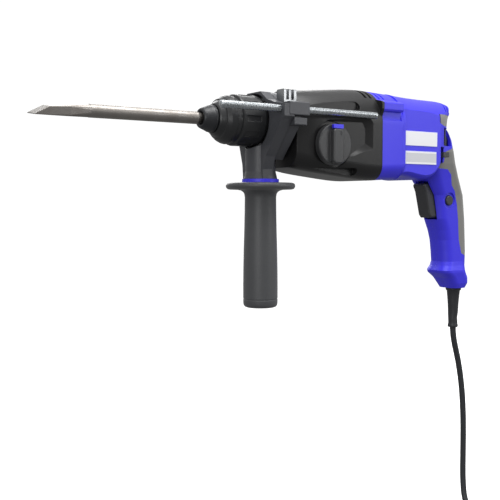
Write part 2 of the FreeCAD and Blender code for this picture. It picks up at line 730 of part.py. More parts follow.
def side_rail(name, front, rear):
    """The shoulder that runs along both sides of the housings, over a slanted underside."""
    half = float(dim("rail_half"))
    return [padded(f"{name}_{side}", "YZ_Plane", [
        (side * 32, 29), (side * (half - 3), 27), (side * half, 25), (side * half, 18),
        (side * (half - 3.5), 10), (side * 32, 10),
    ], front, rear) for side in (-1, 1)]


knob_recess = cylinder("knob_recess", knob + 2.6, (knob_x, -body_half - 5, knob_z), 9, axis="Y")
knob_hole = cylinder("knob_hole", 6.4, (knob_x, -body_half - 5, knob_z), 12, axis="Y")
gear_hollow = cut("gear_hollow", gear_cavity,
    long_slot("upper_liner", 102, 177, 11.5, 26.5, 10.5),
    long_slot("lower_liner", 96, 173, -60, -44.5, 12.5),
    box("pocket_liner", (106, -60, -50), (194, -body_half + POCKET_DEPTH + 2.4, 9)))
gear_body = fuse("gear_body", gear_outer, *side_rail("gear_rail", RAIL_FRONT, gear_rear))
node("gear_housing", cut("gear_housing_cut", gear_body, gear_hollow,
    cylinder("gear_mouth", neck, (gear_front - 2, 0, 0), 9),
    long_slot("upper_slot", 104, 175, 14, 24, 8),
    long_slot("lower_slot", 98, 171, -55.5, -47.5, 10),
    facet_pocket, knob_recess, knob_hole,
    top_groove("top_groove_0", 188, 3.5, 0.8), top_groove("top_groove_1", 195.5, 3.5, 0.8)))
node("neck_collar", turned("neck_collar", [
    (14.2, 50), (22.4, 50), (22.4, 73), (neck, 73), (neck, gear_front + 4), (17, gear_front + 4),
    (17, 54.2), (14.2, 54.2),
]))

# --------------------------------------------------------------- motor housing
pot_rear = dim("pot_rear")
POT_STATIONS = [
    (gear_rear, body_half, body_top, body_bottom),
    (gear_rear + 16, body_half, body_top - 0.6, body_bottom - 1),
    (pot_rear, body_half - 0.5, body_top - 1.4, body_bottom - 1.5),
]
pot_outer = lofted("pot_outer", "YZ_Plane", housing_rows(POT_STATIONS, 0))
pot_cavity = lofted("pot_cavity", "YZ_Plane", housing_rows(
    [(gear_rear - 1, *POT_STATIONS[0][1:]), POT_STATIONS[1], (pot_rear + 1, *POT_STATIONS[2][1:])],
    wall))
pot_body = fuse("pot_body", pot_outer, *side_rail("pot_rail", gear_rear, pot_rear - 3))
node("motor_housing", cut("motor_housing_cut", pot_body, pot_cavity,
    box("rod_channel", (gear_rear - 1, -body_half - 3, 6.5), (pot_rear - 3, -body_half + 2.2, 16)),
    top_groove("top_groove_2", 209, 2.5, 0.8), top_groove("top_groove_3", 216, 2.5, 0.8)))

# ------------------------------------------------------- rear housing and grip
rear_half, grip_half = dim("rear_half"), dim("grip_half")
SOFT_DEPTH = 2.0
SHELL_WALL = 2.5


def rear_solid(name, inset):
    """The rear housing, pistol grip and foot as one solid, less a wall all round."""
    front_end = pot_rear - 2 if inset else pot_rear
    stations = [
        (front_end, rear_half, body_top - 1.6, body_bottom - 1.5),
        (270, rear_half, body_top - 4, body_bottom - 2.5),
        (298, rear_half - 3, body_top - 4.8, body_bottom - 8),
        (314, rear_half - 9, body_top - 5.4, 26),
        (330 - inset, rear_half - 18, body_top - 9.5, -18),
    ]
    rows = []
    for number, (x, half, top, bottom) in enumerate(stations):
        half, top, bottom = size(half) - inset, size(top) - inset, size(bottom) - inset
        low = (15, 15, 14, 12, 4)[number] - inset * 0.8
        high = (34, 33, 28, 20, 6)[number] - inset * 0.8
        rows.append((x, (-half, half), (-bottom, top), (low, high)))
    barrel = lofted(name + "_barrel", "YZ_Plane", rows)
    grip = lofted(name + "_grip", "XY_Plane", [
        (height, (front + inset, back - inset), (-(size(half) - inset), size(half) - inset),
         (corner - inset, corner - inset))
        for height, front, back, half, corner in (
            (19 - inset, 290, 325.5, grip_half + 7, 10), (5, 290, 329, grip_half + 9, 11),
            (-10, 291, 336.5, grip_half + 11, 12), (-24, 292, 341.5, grip_half + 11, 13),
            (-38, 295, 347, grip_half + 9.5, 14), (-56, 306, 357, grip_half + 6, 14),
            (-76, 319, 368, grip_half + 2.5, 13), (-90, 321.5, 371, grip_half + 1.4, 13),
            (-105, 324, 373.5, grip_half + 0.8, 13), (-119, 330, 375, grip_half + 0.3, 13),
            (-131, 333.5, 376, grip_half, 13), (-145, 335.5, 376.8, grip_half, 13),
            (-158, 336.8, 376.6, grip_half, 13))], ruled=True)
    foot = lofted(name + "_foot", "XY_Plane", [
        (height, (front + inset, back - inset), (-(size(half) - inset), size(half) - inset),
         (corner - inset, corner - inset))
        for height, front, back, half, corner in (
            (-158, 336.8, 376.6, grip_half, 13), (-163, 335, 375.6, grip_half + 0.6, 13),
            (-169, 331.5, 375.2, grip_half + 2, 13), (-172, 333, 376.2, grip_half + 2, 13),
            (-179, 342.5, 380.4, grip_half + 1, 12), (-186, 348.5, 381, grip_half, 11),
            (-192 + (inset / 2 if inset else 0), 352.5, 378, grip_half - 2, 10))], ruled=True)
    return fuse(name, barrel, grip, foot)


rear_outer = rear_solid("rear_outer", 0)
soft_layer = cut("soft_layer", rear_outer, rear_solid("rear_skin", SOFT_DEPTH))
rear_cavity = common("rear_cavity_trimmed", rear_solid("rear_cavity", SOFT_DEPTH + SHELL_WALL),
                     box("cavity_limit", (200, -34.5, -260), (420, 34.5, 70)))
soft_zone = padded("soft_zone", "XZ_Plane", [
    (299, 18.5), (300, 8), (308, 5.5), (331, 5), (332.5, -19.5), (320, -24), (318, -37), (306, -39),
    (307, -43.5), (327, -45), (334, -51), (338, -64), (345, -71), (351, -88), (354.5, -107),
    (357, -131), (362, -148), (390, -160), (400, -60), (400, 20),
], -60, 60)
vent = box("vent_window", (309.5, -60, -17.5), (329, -20, 3.5))
lever_slot = box("lever_slot", (301.8, -60, -38), (316, -20, -19.5))
soft_tool = common("soft_tool", soft_layer, soft_zone)
soft_front = box("soft_front", (200, -60, -60), (301, 60, 60))
node("soft_grip", cut("soft_grip_cut", soft_tool, vent, lever_slot, soft_front))


def side_pocket(name, side):
    """The recess that the labels lie in, on one side of the rear housing."""
    low, high = sorted((side * 60.0, side * float(dim("pocket_half"))))
    block = box(name + "_block", (pot_rear + 4, low, -80), (330, high, 24))
    return rounded(name, block, 4, along("y"))


relief_x, relief_top, relief_end = dim("relief_x"), dim("relief_top"), dim("relief_end")
lock_x, lock_z, lock = dim("lock_x"), dim("lock_z"), dim("lock_dia") / 2
trigger_half = dim("trigger_half")
vents = [box(f"top_vent_{number}", (316 + 6.5 * number, -34, 23), (318.5 + 6.5 * number, -16, 45))
         for number in range(3)]
rear_shell = cut("rear_shell", rear_outer, rear_cavity, soft_tool, vent, lever_slot,
    side_pocket("left_pocket", -1), side_pocket("right_pocket", 1), *vents,
    box("trigger_mouth", (296, -trigger_half - 0.7, -105.5), (330, trigger_half + 0.7, -59)),
    cylinder("lock_recess", lock + 3.5, (lock_x, -26, lock_z), 8.2, axis="Y"),
    cylinder("lock_hole", lock + 0.4, (lock_x, -26, lock_z), 14, axis="Y"),
    cylinder("relief_hole", 7.6, (relief_x, 0, -200), 12, axis="Z"))

SCREW_SEATS = [
    (248, 31.0, 30), (248, 31.0, -50), (292, 31.0, -50), (325, 22.0, -30), (347, 12.5, -120),
    (348, 12.5, -166)]
HEAD_HEIGHT = 2.6


def screw(name, seat):
    """A pan-head screw that goes in from the right, with its head on the seat."""
    x, face, z = seat
    stem = cylinder(name + "_stem", 1.7, (x, 3, z), face - 3, axis="Y")
    head = cylinder(name + "_head", 3.4, (x, face, z), HEAD_HEIGHT, axis="Y")
    return fuse(name, stem, head)


def screw_well(name, seat):
    """The well through which the screw's head is reached."""
    x, face, z = seat
    return cylinder(name, 4.0, (x, face + HEAD_HEIGHT, z), 20, axis="Y")


screws = [screw(f"housing_screw_{number}", seat) for number, seat in enumerate(SCREW_SEATS)]
screw_tools = [screw(f"screw_hole_{number}", seat) for number, seat in enumerate(SCREW_SEATS)]
screw_tools += [screw_well(f"screw_well_{number}", seat) for number, seat in enumerate(SCREW_SEATS)]
left_space = box("left_space", (200, -70, -260), (420, 0, 70))
right_space = box("right_space", (200, 0, -260), (420, 70, 70))
node("handle_shell_left", common("left_half", rear_shell, left_space))
right_half = common("right_half", rear_shell, right_space)
node("handle_shell_right", cut("right_shell_cut", right_half, *screw_tools))
node("housing_screws", compound("housing_screw_group", *screws))

plate_block = box("plate_block", (308, -22.6, -21), (327, -21, 3))
grille_plate = common("grille_plate", plate_block, rear_cavity)
ribs = [box(f"grille_rib_{number}", (311.4 + 4.4 * number, -25.5, -16.8), (313.2 + 4.4 * number, -21.8, 2.6))
        for number in range(3)]
node("vent_grille", fuse("vent_grille_solid", grille_plate, *ribs))
label_y = dim("pocket_half")
node("label_plates", compound("label_pair",
    box("label_upper", (241, -label_y - 0.5, -19.7), (295, -label_y, -3.4)),
    box("label_lower", (242, -label_y - 0.5, -40.7), (294, -label_y, -26))))

# ------------------------------------------------------------- mode selection
knob_disc = rounded("knob_disc", cylinder("knob_plate", knob, (knob_x, -dim("knob_face"), knob_z), 6.6,
                                          axis="Y"), 1.4,
                    lambda edge: abs(edge.BoundBox.Center.y + float(dim("knob_face"))) < 0.01
                    and edge.BoundBox.XLength > 10)
bar_block = rounded("knob_bar_round", box("knob_bar", (knob_x - 7, -dim("knob_bar"), knob_z - knob + 2),
                                          (knob_x + 7, -dim("knob_face") + 1, knob_z + knob - 6)),
                    3.5, along("y"))
bar_top = rounded("knob_bar_soft", bar_block, 1.6,
                  lambda edge: all(abs(point.Point.y + float(dim("knob_bar"))) < 0.01
                                   for point in edge.Vertexes))
stub = cylinder("knob_stub", 6.0, (knob_x, -dim("knob_face") + 4, knob_z), 17, axis="Y")
node("mode_knob", fuse("mode_knob_solid", knob_disc, bar_top, stub))
node("mode_release", rounded("mode_release_round", box("mode_release",
    (knob_x - 6.5, -dim("knob_bar") + 1, knob_z + knob - 5.6),
    (knob_x + 6.5, -dim("knob_face") - 1.6, knob_z + knob - 1.4)), 0.8, along("y")))
fork_plate = box("fork_plate", (120, -29, knob_z - 13), (150, -26.5, knob_z + 13))
fork_window = box("fork_window", (knob_x - 10.5, -31, knob_z - 8), (knob_x + 10.5, -20, knob_z + 8))
fork_arm = box("fork_arm", (125.5, -28, counter_z - 4), (128.5, -9.5, counter_z + 4))
fork_ring = cut("fork_ring", cylinder("fork_ring_out", 13, (125.5, 0, counter_z), 3),
                box("fork_ring_open", (124, 0, counter_z - 20), (130, 20, counter_z + 20)))
node("shift_fork", cut("shift_fork_cut", fuse("shift_fork_solid", fork_plate, fork_arm, fork_ring),
                       fork_window, cylinder("fork_bore", 9.2, (124, 0, counter_z), 6)))

# ------------------------------------------------------ trigger, switch, lock
trigger_pad = padded("trigger_pad", "XZ_Plane", [
    (301, -62), (318, -60.5), (330, -60.5), (330, -103.5), (316, -103.5), (313, -100), (306, -72),
], -trigger_half, trigger_half)
node("trigger", rounded("trigger_round", trigger_pad, 2.6,
                        lambda edge: edge.BoundBox.Center.x < 324 and (
                            edge.BoundBox.YLength < 0.01 or edge.BoundBox.ZLength > 3
                            or edge.BoundBox.Center.x < 312)))
node("trigger_switch", rounded("switch_round", box("switch_block", (337.5, -8.5, -104), (356, 8.5, -64)),
                               1.2, any_edge))
button = rounded("lock_button_round", cylinder("lock_bar", lock, (lock_x, -20.2, lock_z), 8.2, axis="Y"),
                 1.0, lambda edge: edge.BoundBox.Center.y < -20 and edge.BoundBox.XLength > 5)
node("lock_button", button)

# ---------------------------------------------------------------- side handle
handle_x = dim("handle_x")
band_front, band_rear = dim("band_front"), dim("band_rear")
node("clamp_band", turned("clamp_band", [
    (neck + 0.3, band_front + 1), (neck + 3.4, band_front + 1), (neck + 3.4, band_rear - 1),
    (neck + 0.3, band_rear - 1),
]))
stem = dim("stem_dia") / 2
collar_top = dim("flange_top") + 3.6
clamp_ring = cylinder("clamp_ring", neck + 6.5, (band_front, 0, 0), band_rear - band_front)
stem_bar = cylinder("stem_bar", stem, (handle_x, 0, collar_top), 36, axis="Z")
stem_foot = cone("stem_foot", stem + 1.8, stem - 1, (handle_x, 0, collar_top), 12, axis="Z")
front_plate = padded("front_plate", "YZ_Plane", [
    (20.5, collar_top), (22, -44), (28, -24), (32.5, -10), (32, 4), (24, 21), (12, 30), (-12, 30),
    (-24, 21), (-38, 16.5), (-55, 13.5), (-55, 1.5), (-51, -1.5), (-22, -37), (-17, -50),
    (-17, collar_top),
], handle_x - 8.6, band_front + 0.5)
web = padded("bracket_web", "YZ_Plane", [
    (30, -14), (17, -34), (-16, -40), (-24, -31), (-50, -1.5), (-50, 13.5), (-24, 16.5), (-10, 28), (0, 30),
], band_front - 1, band_rear - 3)
rod_y, rod_z, rod = dim("rod_y"), dim("rod_z"), dim("rod_dia") / 2
rod_block = rounded("rod_block", box("rod_block_bar", (68.4, rod_y - 8.5, rod_z - 6.6),
                                     (93, rod_y + 7, rod_z + 7)), 1.2, along("x"))
tab_bar = box("rod_tab_bar", (75, rod_y - 7.5, rod_z - 16.2), (90.5, rod_y + 7.5, rod_z - 8.6))
rod_tab = rounded("rod_tab", tab_bar,
                  1.0, along("x"))
bracket_solid = fuse("bracket_solid", clamp_ring, stem_bar, stem_foot, front_plate, web, rod_block, rod_tab,
                     box("tab_web", (75, rod_y - 2, rod_z - 12), (84, rod_y + 6, rod_z - 4)))
node("handle_bracket", cut("handle_bracket_cut", bracket_solid,
    cylinder("bracket_bore", neck + 3.4, (40, 0, 0), 60),
    cylinder("rod_hole", rod + 0.3, (60, rod_y, rod_z), 50),
    cylinder("bolt_hole", 4.3, (handle_x, 0, -80), 52, axis="Z"),
    cylinder("nut_hole", 7.8, (handle_x, 0, -36), 12, axis="Z")))
latch_block = box("latch_block", (74.5, -37, 16.5), (90, -24, 31))
node("rod_latch", cut("rod_latch_cut", rounded("latch_round", latch_block, 1.5, along("x")),
    cylinder("latch_clear", neck + 6.5, (70, 0, 0), 30),
    *(box(f"latch_gap_{number}", (77.2 + 6.2 * number, -40, 20), (80.6 + 6.2 * number, -20, 33))
      for number in range(2))))
node("grip_collar", turned("grip_collar", [
    (5, dim("flange_top")), (19.5, dim("flange_top")), (19.5, collar_top), (5, collar_top),
], at=(handle_x, 0, 0), axis="Z"))
bolt_bar = cylinder("clamp_bolt_bar", 4.0, (handle_x, 0, -118), 85, axis="Z")
bolt_head = cylinder("clamp_bolt_head", 7.2, (handle_x, 0, -35.5), 4, axis="Z")
node("clamp_bolt", fuse("clamp_bolt_solid", bolt_bar, bolt_head))
flange = dim("flange_dia") / 2
flange_top = dim("flange_top")
grip_bottom = dim("grip_bottom")
grip_waist, grip_end = dim("grip_dia") / 2, dim("grip_end_dia") / 2
node("side_grip", turned("side_grip", [
    (4.4, flange_top - 0.3), (flange - 2.5, flange_top - 0.3), (flange - 0.6, flange_top - 1.6),
    (flange, flange_top - 3.8), (flange - 0.6, flange_top - 6), (flange - 2.5, flange_top - 7.3),
    (grip_waist + 5, flange_top - 8), (grip_waist + 0.8, flange_top - 11),
    (grip_waist, flange_top - 20), (grip_waist + 0.4, -115), (grip_end, grip_bottom + 16),
    (grip_end, grip_bottom + 4), (grip_end - 1.2, grip_bottom + 1.2), (grip_end - 4, grip_bottom),
    (0, grip_bottom), (0, -122), (4.4, -122),
], at=(handle_x, 0, 0), axis="Z"))
node("depth_rod", rounded("depth_rod_round", cylinder("depth_rod_bar", rod, (dim("rod_front"), rod_y, rod_z),
                                                      dim("rod_rear") - dim("rod_front")), 0.8,
                          lambda edge: edge.BoundBox.XLength < 0.01))

# ----------------------------------------------------------------------- lead
lead = dim("lead_dia") / 2
node("strain_relief", turned("strain_relief", [
    (lead, relief_end), (5.9, relief_end), (6.4, relief_end + 2), (5.6, relief_end + 5), (6.6, -215),
    (8.0, -197), (9.6, -195.6), (9.6, -192.2), (7.4, -192), (7.4, relief_top), (lead, relief_top),
], at=(relief_x, 0, 0), axis="Z"))
clamp_block = box("cord_clamp_block", (relief_x - 9, -10, -182), (relief_x + 2, 10, -174))
clamp_bore = cylinder("cord_clamp_bore", lead, (relief_x, 0, -190), 20, axis="Z")
node("cord_clamp", cut("cord_clamp_cut", clamp_block, clamp_bore))
floor, coil_x, coil_y, coil_mid = dim("floor"), dim("coil_x"), dim("coil_y"), dim("coil_mid")
row = dim("lead_dia")
top_row, middle_row = float(floor + row * 2.5), float(floor + row * 1.5)
outer_turn = float(coil_mid + row)
ENTRY = 35.0
ROUTE = [
    (367.5, 0, -172), (367.5, 0, -243), (369.5, 0, -260), (380, 0.4, -290), (387, 0, -327),
    (389.8, -0.4, -366), (390.5, -0.2, -405), (389.2, -1.5, -445), (387.3, -7, -472),
    (385.8, -25, -492), (385, -47, top_row), (385, -67, top_row),
]


def route_wire(points):
    """Straight runs joined by tangent arcs as large as the runs allow."""
    spots = [Vector(*point) for point in points]
    edges, start = [], spots[0]
    for before, corner, after in zip(spots, spots[1:], spots[2:]):
        into, out = corner - before, after - corner
        turn = into.getAngle(out)
        reach = 0.45 * min(into.Length, out.Length)
        radius = reach / math.tan(turn / 2)
        print(f"lead arc radius {radius:.0f} mm, turn {math.degrees(turn):.1f} degrees")
        into.normalize()
        out.normalize()
        first, last = corner - into * reach, corner + out * reach
        inward = out - into
        inward.normalize()
        middle = corner + inward * (radius / math.cos(turn / 2) - radius)
        edges.append(Part.LineSegment(start, first).toShape())
        edges.append(Part.Arc(first, middle, last).toShape())
        start = last
    edges.append(Part.LineSegment(start, spots[-1]).toShape())
    return Part.Wire(edges)


path = route_wire(ROUTE[1:])
profile = Part.Wire([Part.Circle(Vector(*ROUTE[1]), Vector(0, 0, -1), float(lead)).toShape()])
lead_shape = path.makePipeShell([profile], True, True)
inner_end = Part.makeCylinder(float(lead), ROUTE[0][2] - ROUTE[1][2], Vector(*ROUTE[1]), Vector(0, 0, 1))
node("mains_lead", made("mains_lead", lead_shape.fuse(inner_end).removeSplitter()))
section_area = math.pi * float(lead) ** 2
print(f"lead volume {lead_shape.Volume:.0f}, section times length {section_area * path.Length:.0f}")

coil_ring = turned("coil_ring", [
    (coil_mid - row * 1.5, floor), (coil_mid + row * 1.5, floor),
    (coil_mid + row * 1.5, floor + row * 3), (coil_mid - row * 1.5, floor + row * 3),
], at=(coil_x, coil_y, 0), axis="Z")
coil_round = rounded("coil_round", coil_ring, 2.0, lambda edge: edge.Curve.TypeId == "Part::GeomCircle")
entry_end = cylinder("coil_entry", lead - 0.3, (coil_x + outer_turn, coil_y, top_row), ENTRY, axis="Y")
exit_end = cylinder("coil_exit", lead - 0.3, (coil_x - outer_turn, coil_y, middle_row), ENTRY, axis="Y")
node("lead_coil", fuse("lead_coil_solid", coil_round, entry_end, exit_end))
print("lead entry at", float(coil_x) + outer_turn, float(coil_y) + ENTRY, top_row)
tie_out = box("tie_outer", (coil_x - 4, coil_y - coil_mid - row * 1.5 - 1.4, floor),
              (coil_x + 4, coil_y - coil_mid + row * 1.5 + 1.4, floor + row * 3 + 1.4))
node("lead_tie", cut("lead_tie_cut", rounded("tie_round", tie_out, 2.5,
    lambda edge: along("x")(edge) and edge.BoundBox.Center.z > float(floor) + 10), 
    turned("tie_ring", [
        (coil_mid - row * 1.5, floor - 1), (coil_mid + row * 1.5, floor - 1),
        (coil_mid + row * 1.5, floor + row * 3), (coil_mid - row * 1.5, floor + row * 3),
    ], at=(coil_x, coil_y, 0), axis="Z")))

plug_x = coil_x - outer_turn
plug_start = coil_y + ENTRY
boot = cone("plug_boot", 5.2, 9.0, (plug_x, plug_start, middle_row), 24, axis="Y")
plug_half = dim("plug_width") / 2
plug_block = rounded("plug_block_round", box("plug_block",
    (plug_x - plug_half, plug_start + 20, floor),
    (plug_x + plug_half, plug_start + 20 + dim("plug_length"), floor + row * 3)), 7, along("y"))
node("mains_plug", rounded("plug_round", fuse("plug_solid", boot, plug_block), 2.0,
    lambda edge: abs(edge.BoundBox.Center.y - float(plug_start) - 20 - float(dim("plug_length"))) < 0.01
    and edge.BoundBox.YLength < 0.01))
pin_start = plug_start + 20 + dim("plug_length")
pin_radius_plug = dim("plug_pin_dia") / 2
pins = [rounded(f"plug_pin_round_{side}", cylinder(f"plug_pin_{side}", pin_radius_plug,
                (plug_x + side * dim("plug_pin_gap") / 2, pin_start, middle_row), 19, axis="Y"), 1.0,
                lambda edge: edge.BoundBox.Center.y > float(pin_start) + 18.9)
        for side in (-1, 1)]
node("plug_pins", compound("plug_pin_pair", *pins))

# --------------------------------------------------------- place, check, write
doc.recompute()
home = Placement(Vector(-float(dim("grip_x")), 0, -float(dim("grip_z"))), Rotation())
for label, obj in parts:
    for path_name, _ in obj.ExpressionEngine:
        if "Placement" in path_name:
            obj.setExpression(path_name, None)
    obj.Placement = home.multiply(obj.Placement)
doc.recompute()
for obj in doc.Objects:
    if "Invalid" in obj.State or "Error" in obj.State:
        raise ValueError(f"{obj.Name} ({obj.Label}) failed: {obj.State}")
os.makedirs("parts", exist_ok=True)
for label, obj in parts:
    shape = obj.Shape
    if shape.isNull() or not shape.isValid():
        raise ValueError(f"{label} has no valid shape")
    print(f"{label:24s} {len(shape.Solids):2d} solid(s) {shape.Volume / 1000:9.2f} cm3")
    shape.exportStep(f"parts/{label}.step")
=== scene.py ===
"""Looks of a corded rotary hammer: chuck with flat chisel, side handle, mode knob, pistol grip and mains lead."""

import logging
import math
from collections.abc import Callable, Iterator, Sequence
from contextlib import contextmanager
from dataclasses import dataclass
from enum import Enum

import bmesh
import bpy
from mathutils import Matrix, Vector


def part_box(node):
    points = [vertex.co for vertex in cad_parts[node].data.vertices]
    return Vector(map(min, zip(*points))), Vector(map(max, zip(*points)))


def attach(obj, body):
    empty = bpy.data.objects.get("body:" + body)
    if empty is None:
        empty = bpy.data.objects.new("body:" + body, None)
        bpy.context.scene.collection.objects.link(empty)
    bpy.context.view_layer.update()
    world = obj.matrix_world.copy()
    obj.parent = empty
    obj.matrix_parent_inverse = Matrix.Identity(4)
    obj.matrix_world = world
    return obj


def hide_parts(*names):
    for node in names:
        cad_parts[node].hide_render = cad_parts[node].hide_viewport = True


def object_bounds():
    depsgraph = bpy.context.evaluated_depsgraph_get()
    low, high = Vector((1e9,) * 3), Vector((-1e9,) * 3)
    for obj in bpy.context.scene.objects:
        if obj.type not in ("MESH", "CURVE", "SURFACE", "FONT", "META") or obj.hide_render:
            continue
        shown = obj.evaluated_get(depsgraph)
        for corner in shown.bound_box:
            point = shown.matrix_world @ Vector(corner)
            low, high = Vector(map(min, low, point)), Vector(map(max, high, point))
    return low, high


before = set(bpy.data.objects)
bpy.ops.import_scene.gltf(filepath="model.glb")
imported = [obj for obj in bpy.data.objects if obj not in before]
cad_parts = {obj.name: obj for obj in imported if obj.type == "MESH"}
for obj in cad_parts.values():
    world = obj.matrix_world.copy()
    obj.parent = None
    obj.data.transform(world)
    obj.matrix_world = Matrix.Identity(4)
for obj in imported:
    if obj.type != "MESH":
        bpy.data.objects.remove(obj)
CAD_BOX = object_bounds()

log = logging.getLogger("rotary_hammer")
MM = 0.001
Colour = tuple[float, float, float]
Ring = tuple[float, float]
Point = tuple[float, float, float]


class Axis(Enum):
    """The direction that a turned piece or a brushed pattern runs along, with the turn that lays +Z on it."""

    X = (0.0, math.pi / 2, 0.0)
    Y = (-math.pi / 2, 0.0, 0.0)
    Z = (0.0, 0.0, 0.0)


class Slot(Enum):
    """The record's material slots."""

    TOOL_STEEL = "tool_steel"
    DARK_STEEL = "dark_steel"
    BEARING_STEEL = "bearing_steel"
    ZINC_ROD = "zinc_rod"
    PLATED_STRAP = "plated_strap"
    STRAP_STEEL = "strap_steel"
    CAST_ALLOY = "cast_alloy"
    CAP_RUBBER = "cap_rubber"
    SLEEVE_PLASTIC = "sleeve_plastic"
    GEAR_CASE_PLASTIC = "gear_case_plastic"
    KNOB_PLASTIC = "knob_plastic"
    BLUE_PLASTIC = "blue_plastic"
    SOFT_GREY = "soft_grey"
    SLATE_PLASTIC = "slate_plastic"
    SIDE_GRIP_RUBBER = "side_grip_rubber"
    TRIGGER_PLASTIC = "trigger_plastic"
    LABEL_WHITE = "label_white"
    LAMINATION_STEEL = "lamination_steel"
    COPPER_WIRE = "copper_wire"
    HOLDER_BRASS = "holder_brass"
    CARBON = "carbon"
    CORD_RUBBER = "cord_rubber"
    PIN_METAL = "pin_metal"


# ------------------------------------------------------------------ materials


class Signal:
    """A number that changes over a surface. Python's arithmetic on it adds Math nodes."""

    def __init__(self, bench: "NodeBench", socket: bpy.types.NodeSocket) -> None:
        """Wraps a socket.

        Args:
            bench: The node tree that the socket belongs to.
            socket: The output that carries the number.
        """
        self.bench = bench
        self.socket = socket

    def _math(self, operation: str, *values: "Signal | float") -> "Signal":
        """Adds one Math node.

        Args:
            operation: The node's operation.
            values: Its inputs in order.

        Returns:
            The node's result.
        """
        return self.bench.node("ShaderNodeMath", {"operation": operation}, dict(enumerate(values)))

    def __add__(self, other: "Signal | float") -> "Signal":
        """Self plus other."""
        return self._math("ADD", self, other)

    __radd__ = __add__

    def __sub__(self, other: "Signal | float") -> "Signal":
        """Self minus other."""
        return self._math("SUBTRACT", self, other)

    def __rsub__(self, other: float) -> "Signal":
        """Other minus self."""
        return self._math("SUBTRACT", other, self)

    def __mul__(self, other: "Signal | float") -> "Signal":
        """Self times other."""
        return self._math("MULTIPLY", self, other)

    __rmul__ = __mul__

    def __gt__(self, other: float) -> "Signal":
        """One where self is above other, and zero elsewhere."""
        return self._math("GREATER_THAN", self, other)

    def __lt__(self, other: float) -> "Signal":
        """One where self is below other, and zero elsewhere."""
        return self._math("LESS_THAN", self, other)

    def spread(self, low: float, high: float) -> "Signal":
        """Stretches a part of the range over zero to one.

        Args:
            low: The value that becomes zero.
            high: The value that becomes one.

        Returns:
            The stretched signal, kept within zero and one.
        """
        return self.bench.node("ShaderNodeMapRange", {"clamp": True}, {0: self, 1: low, 2: high})


class NodeBench:
    """A node tree that nodes are added to."""

    def __init__(self, tree: bpy.types.NodeTree) -> None:
        """Takes the tree."""
        self.tree = tree

    def node(
        self,
        kind: str,
        settings: dict[str, object],
        sockets: dict[str | int, object],
        out: str | int = 0,
    ) -> Signal:
        """Adds a node, sets it up and wires it.

        Args:
            kind: The node's type.
            settings: Its own settings; "stops" holds a ramp's (place, colour) pairs.
            sockets: Values or signals for its inputs.
            out: The output to hand back.

        Returns:
            The chosen output.
        """
        made = self.tree.nodes.new(kind)
        for name, value in settings.items():
            if name == "stops":
                self._set_stops(made.color_ramp, value)
            else:
                setattr(made, name, value)
        for name, value in sockets.items():
            self.feed(made.inputs[name], value)
        return Signal(self, made.outputs[out])

    def feed(self, socket: bpy.types.NodeSocket, value: object) -> None:
        """Links a signal to an input, or sets a plain value on it."""
        if isinstance(value, Signal):
            self.tree.links.new(value.socket, socket)
        else:
            socket.default_value = value

    @staticmethod
    def _set_stops(ramp: bpy.types.ColorRamp, stops: Sequence[tuple[float, Colour]]) -> None:
        """Gives a colour ramp its stops.

        Args:
            ramp: The ramp.
            stops: The place and colour of each stop.
        """
        while len(ramp.elements) < len(stops):
            ramp.elements.new(0.5)
        for element, (place, colour) in zip(ramp.elements, stops):
            element.position = place
            element.color = (*colour, 1.0)


